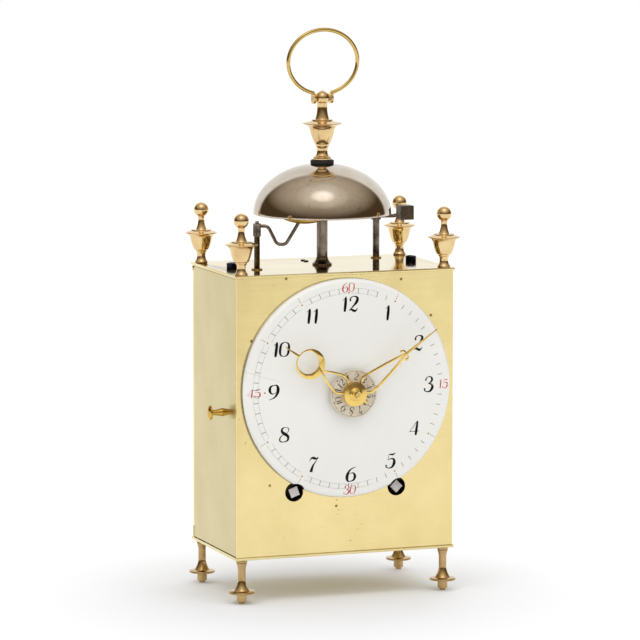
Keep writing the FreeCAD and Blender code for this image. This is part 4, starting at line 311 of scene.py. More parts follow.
def dial_enamel(name):
    """Milky glass with a crack, specks, and a dark edge of bare copper and painted gap shade, widest low on
    the dial.
    """
    paint = Paint(name)
    milk = paint.noise(30.0, 3.0)
    across, along, up = [value * (1 / MM) for value in paint.coordinates()]
    ahead = DIAL_AT[1] - along
    height = up - DIAL_AT[2]
    slope = (CRACK_TO[1] - CRACK_FROM[1]) / (CRACK_TO[0] - CRACK_FROM[0])
    wander = paint.noise(210.0, 3.0) - 0.5
    off = height - (CRACK_FROM[1] + slope * (across - CRACK_FROM[0])) + 1.6 * wander
    line = 1.0 - paint.between(paint.math("ABSOLUTE", off, 0.0), 0.03, 0.12)
    crack = line * (1.0 - paint.between(across, CRACK_TO[0] - 3.0, CRACK_TO[0]))
    specks = paint.between(paint.noise(700.0, 2.0), 0.77, 0.80)
    tone = paint.mix(milk, shade(240, 239, 233), shade(233, 232, 226))
    tone = paint.mix(0.45 * crack + 0.35 * specks, tone, shade(120, 110, 100))
    # painted shade: the dark band along the edge next to the plate is partly bare copper, made wider low on
    # the dial and fainter toward its top
    low = 1.0 - paint.between(height, -40.0, 0.0)
    copper_and_gap_shade = 1.0 - paint.between(ahead - low + 1.1 * (paint.noise(130.0, 4.0) - 0.5), 1.25, 1.75)
    copper_and_gap_shade = copper_and_gap_shade * (1.0 - 0.85 * paint.between(height, -5.0, 38.0))
    chips = paint.between(paint.noise(95.0, 3.0), 0.66, 0.70) * (1.0 - paint.between(ahead, 2.0, 2.8))
    # this dark brown serves both the bare copper and the painted shade of the gap
    tone = paint.mix(paint.math("MAXIMUM", copper_and_gap_shade, chips), tone, shade(74, 58, 52))
    paint.bump(paint.noise(55.0, 2.0), 0.04, 0.0003)
    return paint.finish(base_color=tone, roughness=0.16 + 0.06 * milk, coat_weight=0.35, coat_roughness=0.06)


finishes["enamel"] = dial_enamel("enamel")
print("middle of the dial:", DIAL_AT)


# %% Silvered disc and inks
def silvered_disc(name):
    paint = Paint(name)
    grain = paint.noise(1500.0, 3.0)
    age = paint.between(paint.noise(240.0, 5.0), 0.38, 0.70)
    paint.bump(grain, 0.12, 0.00004)
    return paint.finish(base_color=paint.mix(age, shade(228, 217, 196), shade(206, 192, 166)),
                        metallic=0.30, roughness=0.42 + 0.12 * grain)


def ink(name, tone, faded, rough):
    """Fired or engraved colour that is thinner in places."""
    paint = Paint(name)
    thin = paint.between(paint.noise(420.0, 4.0), 0.50, 0.74)
    return paint.finish(base_color=paint.mix(0.6 * thin, tone, faded), roughness=rough + 0.1 * thin,
                        specular_ior_level=0.12)


INKS = {        # full and thin colour, and roughness
    "hour_black": (shade(14, 14, 15), shade(34, 33, 34), 0.30),
    "stroke_black": (shade(28, 27, 25), shade(70, 68, 64), 0.30),
    "circle_grey": (shade(140, 139, 135), shade(198, 197, 194), 0.30),
    "minute_red": (shade(196, 66, 66), shade(220, 130, 126), 0.30),
    "dot_gold": (shade(176, 126, 60), shade(204, 168, 108), 0.30),
    "engraving_wax": (shade(24, 18, 12), shade(62, 50, 36), 0.50),
}
finishes["engraved_brass"] = silvered_disc("engraved_brass")
finishes.update({name: ink(name, *look) for name, look in INKS.items()})
print("finishes with the inks:", len(finishes))

# %% [markdown]
# ## Shaping on the lathe
# Feet, finials, knobs and the bell are turned. A lathe piece is drawn as half its
# outline, from point to point, and spun once round its axis. A mirror or a stack of
# cylinders could do it too, but spinning gives one closed skin with even rows.


# %% Picking up and editing a piece
def select_only(*pieces):
    """Select these pieces and make the first of them active."""
    bpy.ops.object.select_all(action="DESELECT")
    for piece in pieces:
        piece.select_set(True)
    if pieces:
        bpy.context.view_layer.objects.active = pieces[0]


def new_piece(add, **settings):
    """A simple shape to start from."""
    select_only()
    add(**settings)
    return bpy.context.object


@contextmanager
def editing():
    """Edit mode for the lines inside."""
    bpy.ops.object.mode_set(mode="EDIT")
    yield
    bpy.ops.object.mode_set(mode="OBJECT")


def reshape(piece, kind, **settings):
    """Apply a modifier with these settings to a piece."""
    select_only(piece)
    modifier = piece.modifiers.new(kind, kind)
    for name, value in settings.items():
        setattr(modifier, name, value)
    bpy.ops.object.modifier_apply(modifier=modifier.name)


print("mode to start from:", bpy.context.mode)

# %% Outlines and the lathe
TURN_STEPS = 96
WELD = 0.001            # corners nearer than this are joined


def arc(start, middle, end, steps=8):
    """Points of the arc through three (radius, height) points, without its start."""
    ax, ay = start
    bx, by = middle
    cx, cy = end
    area = 2 * (ax * (by - cy) + bx * (cy - ay) + cx * (ay - by))
    a, b, c = ax * ax + ay * ay, bx * bx + by * by, cx * cx + cy * cy
    ox = (a * (by - cy) + b * (cy - ay) + c * (ay - by)) / area
    oy = (a * (cx - bx) + b * (ax - cx) + c * (bx - ax)) / area
    first = math.atan2(ay - oy, ax - ox)
    turns = [(math.atan2(y - oy, x - ox) - first) % math.tau for x, y in (middle, end)]
    sweep = turns[1] if turns[0] < turns[1] else turns[1] - math.tau
    size = math.hypot(ax - ox, ay - oy)
    angles = [first + sweep * step / steps for step in range(1, steps + 1)]
    return [(ox + size * math.cos(angle), oy + size * math.sin(angle)) for angle in angles]


def outline(*steps):
    """Chain points and (middle, end) arcs into one list of points."""
    points = [steps[0]]
    for step in steps[1:]:
        if isinstance(step[0], tuple):
            points.extend(arc(points[-1], *step))
        else:
            points.append(step)
    return points


def turn_on_lathe(name, points, steps=TURN_STEPS):
    """Spin a (radius, height) outline in millimetres once round the upright axis."""
    piece = new_piece(bpy.ops.mesh.primitive_plane_add, size=MM)
    piece.name = name
    with editing():
        bpy.ops.mesh.merge(type="CENTER")
        bpy.ops.transform.translate(value=(points[0][0] * MM, 0, points[0][1] * MM))
        for (r0, z0), (r1, z1) in zip(points, points[1:]):
            move = ((r1 - r0) * MM, 0, (z1 - z0) * MM)
            bpy.ops.mesh.extrude_vertices_move(TRANSFORM_OT_translate={"value": move})
        bpy.ops.mesh.select_all(action="SELECT")
        bpy.ops.mesh.spin(steps=steps, angle=math.tau, center=(0, 0, 0), axis=(0, 0, 1))
        bpy.ops.mesh.select_all(action="SELECT")
        bpy.ops.mesh.remove_doubles(threshold=WELD * MM)
        bpy.ops.mesh.normals_make_consistent(inside=False)
    return piece


print("steps on the lathe:", TURN_STEPS)

# %% Edges, places and finishes
FLAT_SMOOTH = 35        # degrees; sharper edges stay sharp on pieces with flat faces
ROUND_SMOOTH = 75       # and on pieces that are round all over


def soften(piece, edge, from_angle=30, segments=2, flat=True):
    """Round the sharp edges and smooth the shading between them; flat faces can stay flat."""
    if edge:
        reshape(piece, "BEVEL", width=edge * MM, segments=segments, limit_method="ANGLE",
                angle_limit=math.radians(from_angle))
    select_only(piece)
    bpy.ops.object.shade_smooth_by_angle(angle=math.radians(FLAT_SMOOTH if flat else ROUND_SMOOTH))
    if edge and flat:
        reshape(piece, "WEIGHTED_NORMAL", keep_sharp=True)
    return piece


def set_down(piece, at, turn=(0, 0, 0)):
    """Turn and move a piece, in degrees and millimetres, and keep the place in its mesh."""
    select_only(piece)
    piece.rotation_euler = [math.radians(angle) for angle in turn]
    piece.location = [value * MM for value in at]
    bpy.ops.object.transform_apply()
    return piece


def copy_of(piece, name):
    """A copy with a mesh of its own."""
    twin = piece.copy()
    twin.data = piece.data.copy()
    twin.name = name
    bpy.context.collection.objects.link(twin)
    return twin


def fit_piece(piece, finish, *nodes, body=None):
    """Give a piece its finish, let it ride on its body, and hide the solids it stands for."""
    piece.data.materials.clear()
    piece.data.materials.append(finishes[finish])
    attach(piece, body or body_of[nodes[0]])
    if nodes:
        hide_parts(*nodes)


print("edges stay sharp above", FLAT_SMOOTH, "degrees")

# %% [markdown]
# ## Feet
# Each foot is a peg, a flange and a slender stem that flares up into a cup below the
# base plate. One is turned and copied to the four corners.

# %% Feet
POST_X = 56.0
POST_Y = 31.85
CORNERS = [(end + "_" + side, x, y) for end, y in (("front", -POST_Y), ("back", POST_Y))
           for side, x in (("left", -POST_X), ("right", POST_X))]
BASE_Z = 23.0


def set_at_corners(pattern, height, name, finish, node):
    """Copy a turned piece to the four corners of the case."""
    for corner, x, y in CORNERS:
        piece = set_down(copy_of(pattern, name + corner), (x, y + CASE_Y, height))
        fit_piece(piece, finish, node + corner)
    bpy.data.objects.remove(pattern)


# Radius and height of each corner; a pair of such points is a curved flank.
foot_outline = outline(
    (0, 0), (1.6, 0), (1.6, 1.2), (2.6, 1.2), (2.6, 4.6), (6.55, 5.4), ((6.95, 5.95), (6.55, 6.5)),
    (4.2, 6.8), ((2.8, 9.1), (2.0, 14.0)), (2.0, 18.0), ((2.28, 19.7), (2.9, 21.4)), (2.5, 21.4), (2.5, 21.7),
    (2.9, 21.7), (2.9, BASE_Z), (0, BASE_Z))
foot = soften(turn_on_lathe("foot", foot_outline), 0.22)
set_at_corners(foot, 0, "turned_foot_", "foot_brass", "foot_")
print("feet:", len(CORNERS), "points in the outline:", len(foot_outline))

# %% [markdown]
# ## Urn finials
# The corner finials and the larger one above the bell share a pattern: a base, a waist,
# a bead, an urn with a wide dished lip, a neck and a ball. One function draws that
# outline from its sizes, so both come from the same code. A bar put through a small
# hole in the waist of the large one tightens it, and a cylinder cuts that hole as a
# drill would.

# %% Corner finials
DECK_Z = 171.0


def urn_outline(base, waist, bead, urn, dish, step, neck, ball, tip):
    """Outline of an urn finial; each argument gives a radius and heights of one member."""
    waist_z = base[1] + waist[1]
    bead_z = waist_z + bead[1]
    urn_z = bead_z + bead[2]
    swell_z = urn_z + urn[2]
    dish_z = swell_z + dish[1]
    step_z = dish_z + dish[2] + step[1]
    neck_z = step_z + step[2]
    ball_z = neck_z + neck[2]
    middle = ball_z + math.sqrt(ball ** 2 - neck[1] ** 2)
    tip_z = middle + math.sqrt(ball ** 2 - tip[0] ** 2)
    points = outline(
        (0, 0), (base[0], 0), (base[0], base[1]),
        ((waist[0] + 0.25 * (base[0] - waist[0]), base[1] + 0.4 * waist[1]), (waist[0], waist_z)),
        ((waist[0] + 0.2 * (bead[0] - waist[0]), waist_z + 0.6 * bead[1]), (bead[0], bead_z)),
        (bead[0], urn_z), (urn[0], urn_z + 0.08 * urn[2]),
        (((urn[0] + urn[1]) / 2 + 0.15, urn_z + urn[2] / 2), (urn[1], swell_z)),
        ((urn[1] + 0.28 * (dish[0] - urn[1]), swell_z + 0.6 * dish[1]), (dish[0], dish_z)),
        (dish[0], dish_z + dish[2]), (step[0], step_z), (step[0], neck_z), (neck[0], neck_z),
        ((neck[1] + 0.18 * (neck[0] - neck[1]), neck_z + 0.4 * neck[2]), (neck[1], ball_z)))
    points += arc(points[-1], (ball, middle), (tip[0], tip_z), 20)
    points.append((0, middle + tip[1]))
    return points, middle


finial_points, _ = urn_outline(
    base=(3.4, 0.7), waist=(2.3, 3.3), bead=(3.0, 2.0, 0.5), urn=(3.9, 5.7, 6.2), dish=(8.35, 2.8, 0.45),
    step=(5.4, 1.0, 0.5), neck=(3.0, 1.75, 7.0), ball=3.9, tip=(0.7, 3.95))
finial = soften(turn_on_lathe("finial", finial_points), 0.16)
set_at_corners(finial, DECK_Z, "urn_finial_", "turned_brass", "finial_")
print("corner finials:", len(CORNERS))

# %% Handle finial
WASHER_TOP_Z = 226.2
TOMMY_HOLE_R = 0.68
TOMMY_HOLE_DEPTH = 4.8
TOMMY_HOLE_UP = 4.4     # above the foot of the finial
DRILL_SIDES = 64


def drill(piece, at, radius, depth):
    """Cut a round hole from the front, to half its depth on either side of a place."""
    bit = new_piece(bpy.ops.mesh.primitive_cylinder_add, vertices=DRILL_SIDES, radius=radius * MM,
                    depth=depth * MM)
    reshape(piece, "BOOLEAN", object=set_down(bit, at, (90, 0, 0)), solver="EXACT")
    bpy.data.objects.remove(bit)


handle_points, handle_ball = urn_outline(
    base=(4.8, 1.4), waist=(2.9, 3.0), bead=(3.7, 3.0, 0.8), urn=(4.2, 6.4, 7.2), dish=(10.4, 3.4, 0.5),
    step=(5.6, 1.2, 0.6), neck=(3.9, 2.8, 8.6), ball=3.8, tip=(1.7, 4.3))
handle = set_down(soften(turn_on_lathe("handle_urn", handle_points), 0.16), (0, CASE_Y, WASHER_TOP_Z))
hole_at = (0, CASE_Y - TOMMY_HOLE_DEPTH / 2, WASHER_TOP_Z + TOMMY_HOLE_UP)
drill(handle, hole_at, TOMMY_HOLE_R, TOMMY_HOLE_DEPTH)
soften(handle, 0.0)
fit_piece(handle, "turned_brass", "handle_finial")
print("ring pin at", round(WASHER_TOP_Z + handle_ball, 2), "mm")

# %% [markdown]
# ## Bell, washer and column
# The bell is a half ellipsoid of even thickness with a flat ground on its crown. Its
# outline runs up the outside and down the inside, so that the spin gives it a real
# wall. The rim is softened, because a bell's lip is never sharp.

# %% Bell
BELL_RIM_Z = 197.9
BELL_TOP_Z = 224.0
BELL_R = 36.2
BELL_H = 26.6
BELL_WALL = 1.5
BELL_HOLE_R = 2.04
BELL_ROWS = 40
BELL_STEPS = 160


def bell_side(radius, height, top):
    """Points up one side of the bell, from its rim to where its crown is ground flat."""
    end = math.asin((top - BELL_RIM_Z) / height)
    angles = [end * row / BELL_ROWS for row in range(BELL_ROWS + 1)]
    return [(radius * math.cos(angle), BELL_RIM_Z + height * math.sin(angle)) for angle in angles]


outside = bell_side(BELL_R, BELL_H, BELL_TOP_Z)
inside = bell_side(BELL_R - BELL_WALL, BELL_H - BELL_WALL, BELL_TOP_Z - BELL_WALL)
bell_points = outside + [(BELL_HOLE_R, BELL_TOP_Z), (BELL_HOLE_R, BELL_TOP_Z - BELL_WALL)] + inside[::-1]
bell = turn_on_lathe("bell_shell", bell_points + outside[:1], BELL_STEPS)
fit_piece(set_down(soften(bell, 0.35, 40, 3), (0, CASE_Y, 0)), "bell_metal", "bell")
print("bell points:", len(bell_points))

# %% Washer and column
WASHER_R = 6.0
WASHER_BULGE = (6.2, BELL_TOP_Z + 1.1)
DECK_THICK = 1.5
COLUMN_R = 2.9
COLUMN_FOOT_R = 5.2
COLUMN_FOOT_H = 0.8
COLUMN_FLARE = ((3.5, DECK_Z + 2.6), (COLUMN_R, DECK_Z + 5.0))
STUD_R = 2.0            # of the column, down into the deck and up through the bell
CROWN_Z = BELL_TOP_Z - BELL_WALL

washer = turn_on_lathe("leather_washer", outline(
    (0, BELL_TOP_Z), (WASHER_R, BELL_TOP_Z), (WASHER_BULGE, (WASHER_R, WASHER_TOP_Z)), (0, WASHER_TOP_Z)))
fit_piece(set_down(soften(washer, 0.3), (0, CASE_Y, 0)), "washer_leather", "bell_washer")
column = turn_on_lathe("bell_column", outline(
    (0, DECK_Z - DECK_THICK), (STUD_R, DECK_Z - DECK_THICK), (STUD_R, DECK_Z), (COLUMN_FOOT_R, DECK_Z),
    (COLUMN_FOOT_R, DECK_Z + COLUMN_FOOT_H), COLUMN_FLARE, (COLUMN_R, CROWN_Z), (STUD_R, CROWN_Z),
    (STUD_R, WASHER_TOP_Z), (0, WASHER_TOP_Z)))
fit_piece(set_down(soften(column, 0.2), (0, CASE_Y, 0)), "column_steel", "bell_standard")
print("column top:", WASHER_TOP_Z)

# %% [markdown]
# ## Door knobs
# A small turned knob opens each door. It is turned once and laid along the way that
# its door faces.

# %% Door knobs
KNOB_Y = -12.6
KNOB_Z = 97.6
KNOB_HEAD_R = 3.75
KNOB_HEAD_AT = 6.3      # from the door to the head
KNOB_EDGE_AT = 7.15     # and to where the head begins to dome
KNOB_DOME_H = 0.85
KNOB_STEPS = 48
DOOR_FACE_X = 59.9


def cap_points(radius, low, rise, steps=30):
    """Points of a shallow round cap, from its edge to the axis."""
    ball = (radius ** 2 + rise ** 2) / (2 * rise)
    half = math.asin(radius / ball)
    angles = [half * (1 - step / steps) for step in range(1, steps + 1)]
    return [(ball * math.sin(angle), low + rise - ball + ball * math.cos(angle)) for angle in angles]


knob_points = outline((0, 0), (2.2, 0), ((1.58, KNOB_HEAD_AT / 2), (1.25, KNOB_HEAD_AT)),
                      (KNOB_HEAD_R, KNOB_HEAD_AT), (KNOB_HEAD_R, KNOB_EDGE_AT))
knob_points += cap_points(KNOB_HEAD_R, KNOB_EDGE_AT, KNOB_DOME_H, 8)
knob = soften(turn_on_lathe("knob", knob_points, KNOB_STEPS), 0.12)
for door, way in (("left", -1), ("right", 1)):
    piece = set_down(copy_of(knob, door + "_turned_knob"),
                     (way * DOOR_FACE_X, KNOB_Y + CASE_Y, KNOB_Z), (0, way * 90, 0))
    fit_piece(piece, "knob_brass", door + "_door_knob")
low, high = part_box("back_door_knob")
piece = set_down(copy_of(knob, "back_turned_knob"),
                 ((low[0] + high[0]) / 2 / MM, low[1] / MM, (low[2] + high[2]) / 2 / MM), (-90, 0, 0))
fit_piece(piece, "knob_brass", "back_door_knob")
bpy.data.objects.remove(knob)
print("knobs: 3")

# %% [markdown]
# ## Dial
# The dial is a domed copper plate under enamel, with a rounded shoulder at its edge.
# It is spun like the bell, but about the axis that points forward. The holes for the
# hands and for the winding key are drilled through it.

# %% Dial plate
DIAL_R = 57.2
DIAL_SHOULDER_R = 54.8
DIAL_RIM_H = 2.0
DIAL_SHOULDER_H = 3.8
DIAL_DOME_H = 4.2       # above the shoulder
DIAL_THICK = 1.4
DIAL_EDGE = (DIAL_R - 0.72, DIAL_RIM_H + 1.2)   # halfway round the shoulder
DIAL_STEPS = 192
ARBOR_Z = 109.0
WINDING_X = 28.4
WINDING_Z = 57.3
WINDING_HOLE_R = 4.9
DIAL_HOLE_R = 5.0
DRILL_DEPTH = 60.0

dial_points = outline((DIAL_R - DIAL_THICK, 0), (DIAL_R, 0), (DIAL_R, DIAL_RIM_H),
                      (DIAL_EDGE, (DIAL_SHOULDER_R, DIAL_SHOULDER_H)))
dial_points += cap_points(DIAL_SHOULDER_R, DIAL_SHOULDER_H, DIAL_DOME_H)
under = cap_points(DIAL_SHOULDER_R - DIAL_THICK, DIAL_SHOULDER_H - DIAL_THICK, DIAL_DOME_H)
dial_points += under[::-1] + [(DIAL_R - DIAL_THICK, 0)]
dial = set_down(turn_on_lathe("dial_plate", dial_points, DIAL_STEPS), DIAL_AT, (90, 0, 0))
drill(dial, (0, FRONT_Y, ARBOR_Z), DIAL_HOLE_R, DRILL_DEPTH)
for x in (-WINDING_X, WINDING_X):
    drill(dial, (x, FRONT_Y, WINDING_Z), WINDING_HOLE_R, DRILL_DEPTH)
fit_piece(soften(dial, 0.0), "enamel", "dial")
print("dial faces:", len(dial.data.polygons))

# %% [markdown]
# ## Numerals
# The figures lean a little, with thick stems and hairlines. A font would do, but its
# outlines are foreign to the clock, so each figure is drawn as strokes of a brush:
# points across and up in a box of 54 by 100, with half the brush width at each. A
# curve that carries those widths becomes a flat ribbon, and a shrinkwrap lays it on
# the dome.

# %% Strokes of the figures
FIGURES = {
    "0": [[(26, 100, 1.5), (8, 94, 4), (2, 72, 7), (2, 28, 7), (8, 6, 4), (26, 0, 1.5), (44, 6, 4),
           (50, 28, 7), (50, 72, 7), (44, 94, 4), (26, 100, 1.5)]],
    "1": [[(22, 102, 2), (21, 92, 7), (21, 50, 8.5), (20, 4, 7), (20, -2, 5)],
          [(4, 78, 1.2), (12, 82, 1.5), (20, 100, 2)]],
    "2": [[(10, 70, 5), (6, 78, 5), (10, 97, 2.5), (30, 104, 2), (50, 94, 7), (48, 66, 9),
           (30, 38, 4), (6, 6, 1.4)],
          [(4, 5, 1.2), (14, 16, 4.5), (30, 4, 8), (44, -2, 5), (54, 20, 1.2)]],
    "3": [[(9, 76, 5.5), (5, 86, 4), (16, 102, 1.8), (36, 104, 3), (48, 84, 7.5), (42, 62, 5),
           (24, 54, 1.2)],
          [(24, 54, 1.2), (46, 52, 4.5), (56, 28, 9.5), (44, -2, 6), (20, -4, 1.8), (4, 8, 4),
           (8, 22, 6)]],
    "4": [[(38, 100, 2), (20, 62, 1.2), (0, 27, 1.4)],
          [(0, 27, 1.6), (56, 27, 1.6)],
          [(40, 100, 3), (40, 90, 6.5), (40, 10, 8.5), (40, -2, 5)]],
    "5": [[(12, 98, 1.2), (28, 93, 5.5), (42, 95, 4.5), (50, 104, 1.2)],
          [(13, 98, 1.4), (11, 55, 1.2)],
          [(11, 54, 1.2), (22, 66, 2), (48, 62, 6), (54, 28, 10), (42, -2, 5), (20, -4, 1.6),
           (3, 8, 4), (8, 20, 6)]],
    "6": [[(48, 100, 1.2), (22, 90, 3), (6, 60, 7), (4, 26, 10), (12, -2, 5), (30, -4, 1.4),
           (50, 6, 6), (52, 34, 8.5), (42, 56, 4.5), (24, 60, 1.4), (10, 44, 1.2)]],
    "7": [[(2, 76, 1.2), (6, 98, 3), (22, 100, 8.5), (36, 90, 6), (50, 102, 1.2)],
          [(50, 102, 1.2), (36, 70, 2), (22, 36, 6.5), (20, -2, 9)]],
    "8": [[(28, 102, 1.2), (8, 98, 4), (8, 70, 7.5), (28, 54, 9), (50, 38, 8), (52, 6, 5),
           (28, -4, 1.4), (4, 2, 4.5), (4, 34, 3), (26, 52, 1.2), (46, 66, 1.6), (48, 96, 3),
           (28, 102, 1.2)]],
}
FIGURE_TALL = 100
FIGURE_BOX = 54         # width of the box that a figure is drawn in
FIGURE_WIDE = 62        # from one figure to the next
FIGURE_ADVANCE = {"1": 40}
FIGURES["9"] = [[(FIGURE_BOX - x, FIGURE_TALL - y, w) for x, y, w in stroke] for stroke in FIGURES["6"]]
FIGURE_DRAWN_OUT = 1.28
FIGURE_SLANT = 0.13     # shift to the right over the height
print("figures drawn:", "".join(sorted(FIGURES)))


# %% From strokes to ribbons
def figure_width(text):
    """Width of a number before it is drawn out sideways."""
    return sum(FIGURE_ADVANCE.get(sign, FIGURE_WIDE) for sign in text) - FIGURE_WIDE + FIGURE_BOX


def brush(text, height, weight):
    """One curve object with the strokes of a number, drawn flat about its own middle."""
    curve = bpy.data.curves.new("strokes", "CURVE")
    curve.dimensions = "3D"
    curve.twist_mode = "Z_UP"
    curve.extrude = 1.0
    curve.resolution_u = 5
    unit = height / FIGURE_TALL * MM
    left = -figure_width(text) / 2
    for sign in text:
        for stroke in FIGURES[sign]:
            line = curve.splines.new("NURBS")
            line.points.add(len(stroke) - 1)
            for point, (x, y, half) in zip(line.points, stroke):
                up = y - FIGURE_TALL / 2
                point.co = ((FIGURE_DRAWN_OUT * (left + x) + FIGURE_SLANT * up) * unit, up * unit, 0, 1)
                point.radius = weight * half * unit
                point.tilt = math.pi / 2
            line.order_u = 3
            line.use_endpoint_u = True
        left += FIGURE_ADVANCE.get(sign, FIGURE_WIDE)
    piece = bpy.data.objects.new("strokes", curve)
    bpy.context.collection.objects.link(piece)
    select_only(piece)
    bpy.ops.object.convert(target="MESH")
    return bpy.context.object


print("width of a 10:", round(FIGURE_DRAWN_OUT * figure_width("10")), "hundredths of its height")

# %% Laying flat work on the clock
AHEAD_Y = -60.0         # in front of the clock, where flat work is drawn


def pick_faces(piece, chosen):
    """Select just the faces that pass a test."""
    select_only(piece)
    with editing():
        bpy.ops.mesh.select_all(action="DESELECT")
    for face in piece.data.polygons:
        face.select = chosen(face)


def lay_flat(piece):
    """Turn every face of a flat ribbon to the front."""
    pick_faces(piece, lambda face: face.normal.z < 0)
    with editing():
        bpy.ops.mesh.flip_normals()
    return piece


def write_number(text, height, x, z, weight=1.0, turn=0.0):
    """A number standing upright in front of the clock, turned clockwise by some degrees."""
    piece = lay_flat(brush(text, height, weight))
    return set_down(set_down(piece, (0, 0, 0), (90, 0, 0)), (x, AHEAD_Y, z), (0, turn, 0))


def gather(name, pieces):
    """Join pieces into one."""
    select_only(*pieces)
    bpy.ops.object.join()
    joined = bpy.context.object
    joined.name = name
    return joined


def press_on(piece, carrier, lift):
    """Lay a flat piece on what carries it, by moving it straight back until it touches."""
    reshape(piece, "SHRINKWRAP", target=carrier, wrap_method="PROJECT", wrap_mode="ABOVE_SURFACE",
            use_project_y=True, offset=lift * MM)
    return piece


print("flat work starts at", AHEAD_Y, "mm")

# %% Hours and minute numbers
HOUR_TALL = 7.4
HOUR_WEIGHT = 1.26
MINUTE_TALL = 4.5
HOUR_PLACES = {         # middle of each number, from the dial's middle
    12: (0.3, 44.2), 1: (21.0, 38.8), 2: (38.3, 22.3), 3: (44.1, 0.4),
    4: (36.3, -22.3), 5: (23.0, -38.8), 6: (1.2, -44.6), 7: (-19.8, -38.6),
    8: (-35.7, -22.0), 9: (-41.6, 0.0), 10: (-37.5, 22.3), 11: (-20.6, 38.8)}
MINUTE_PLACES = {60: (-0.1, 52.8), 15: (52.8, 0.1), 30: (0.8, -53.0), 45: (-51.9, -0.1)}
INK_LIFT = 0.03

hours = [write_number(str(hour), HOUR_TALL, x, DIAL_AT[2] + z, HOUR_WEIGHT)
         for hour, (x, z) in HOUR_PLACES.items()]
fit_piece(press_on(gather("hour_numerals", hours), dial, INK_LIFT), "hour_black", body="case")
minutes = [write_number(str(minute), MINUTE_TALL, x, DIAL_AT[2] + z)
           for minute, (x, z) in MINUTE_PLACES.items()]
fit_piece(press_on(gather("minute_numbers", minutes), dial, INK_LIFT), "minute_red", body="case")
print("numbers on the dial:", len(hours) + len(minutes))

# %% [markdown]
# ## Minute track
# Two thin circles with a stroke at each minute make a ladder round the dial. Circles
# are edge rings pulled out a little, with the faces at the five-minute places taken
# away. The right half has worn, so there its circles are broken up.

# %% Circles of the minute track
TRACK_IN = 49.7
TRACK_OUT = 52.3
CIRCLE_LINE = 0.11
TRACK_PARTS = 720
HOUR_ANGLE = 30.0       # degrees
GAP_HALF = 1.7          # degrees left free on each side of a five-minute place
WORN_AWAY = (20, 165)   # between these angles the circles are gone


def clock_angle(x, z):
    """Degrees clockwise from twelve."""
    return math.degrees(math.atan2(x, z)) % 360


def flat_ring(name, inner, outer, parts=TRACK_PARTS):
    """A flat ring in front of the dial's middle."""
    piece = new_piece(bpy.ops.mesh.primitive_circle_add, vertices=parts, radius=inner * MM)
    piece.name = name
    with editing():
        bpy.ops.mesh.extrude_edges_move(TRANSFORM_OT_translate={"value": (0, 0, 0)})
        bpy.ops.transform.resize(value=(outer / inner, outer / inner, 1), center_override=(0, 0, 0))
        bpy.ops.mesh.select_all(action="SELECT")
        bpy.ops.mesh.normals_make_consistent(inside=False)
    return lay_flat(piece)


def rub_out(piece, worn):
    """Delete the faces of a flat ring whose place, as a clock angle, is worn away."""
    pick_faces(piece, lambda face: worn(clock_angle(face.center.x, face.center.y)))
    with editing():
        bpy.ops.mesh.delete(type="FACE")
    return piece


def worn_circle(angle):
    """Worn places of a circle: the five-minute gaps, the right half and a few breaks."""
    at_five = abs((angle + HOUR_ANGLE / 2) % HOUR_ANGLE - HOUR_ANGLE / 2) < GAP_HALF
    faded = WORN_AWAY[0] < angle < WORN_AWAY[1]
    broken = math.sin(angle * 1.7) + math.sin(angle * 4.3 + 1.0) > 1.75
    return at_five or faded or broken


circles = [rub_out(flat_ring("circle", radius, radius + CIRCLE_LINE), worn_circle)
           for radius in (TRACK_IN, TRACK_OUT)]
print("faces left of the circles:", [len(circle.data.polygons) for circle in circles])

# %% Strokes of the minute track
STROKE_LINE = 0.22
MINUTE_ANGLE = 6.0      # degrees


def stroke_at(minute):
    """One short radial stroke of the track."""
    piece = new_piece(bpy.ops.mesh.primitive_plane_add, size=1.0)
    with editing():
        bpy.ops.transform.resize(value=(STROKE_LINE * MM, (TRACK_OUT - TRACK_IN) * MM, 1))
        bpy.ops.mesh.subdivide(number_cuts=2)
        bpy.ops.transform.translate(value=(0, (TRACK_IN + TRACK_OUT) / 2 * MM, 0))
    return set_down(piece, (0, 0, 0), (0, 0, -MINUTE_ANGLE * minute))


strokes = [stroke_at(minute) for minute in range(60) if minute % 5]
for edge in (-GAP_HALF / MINUTE_ANGLE, GAP_HALF / MINUTE_ANGLE):
    strokes += [stroke_at(minute + edge) for minute in range(30, 60, 15)]
for name, parts, colour in (("minute_circles", circles, "circle_grey"),
                            ("minute_strokes", strokes, "stroke_black")):
    printed = set_down(gather(name, parts), (0, AHEAD_Y, DIAL_AT[2]), (90, 0, 0))
    fit_piece(press_on(printed, dial, INK_LIFT), colour, body="case")
print("strokes of the track:", len(strokes))

# %% Gold dots at the five-minute places
DOT_ROW = ((51.4, 0.46), (53.0, 0.30), (54.1, 0.28), (55.2, 0.26))     # reach and radius
DOT_INNER = {0: 50.0, 3: 46.4, 6: 50.0, 9: 46.2}    # reach of the single dots at the minute numbers
DOT_SIDES = 14
DOT_INSET = 0.4         # of its radius


def dot(radius, x, z):
    piece = new_piece(bpy.ops.mesh.primitive_circle_add, vertices=DOT_SIDES, radius=radius * MM,
                      fill_type="NGON")
    with editing():
        bpy.ops.mesh.inset(thickness=DOT_INSET * radius * MM)
    return set_down(piece, (x, AHEAD_Y, z), (90, 0, 0))


dots = []
for five in range(12):
    angle = math.radians(HOUR_ANGLE * five)
    places = DOT_ROW if five % 3 else [(DOT_INNER[five], DOT_ROW[0][1])]
    dots += [dot(size, reach * math.sin(angle), DIAL_AT[2] + reach * math.cos(angle))
             for reach, size in places]
fit_piece(press_on(gather("gold_dots", dots), dial, INK_LIFT), "dot_gold", body="case")
print("gold dots:", len(dots))

# %% [markdown]
# ## Alarm disc
# The small disc behind the hands sets the alarm. It carries the hours 1 to 12, each
# with a dot, inside a circle, all cut into the metal and filled with dark wax. The cuts
# are so shallow that thin ribbons just above the disc stand for them.

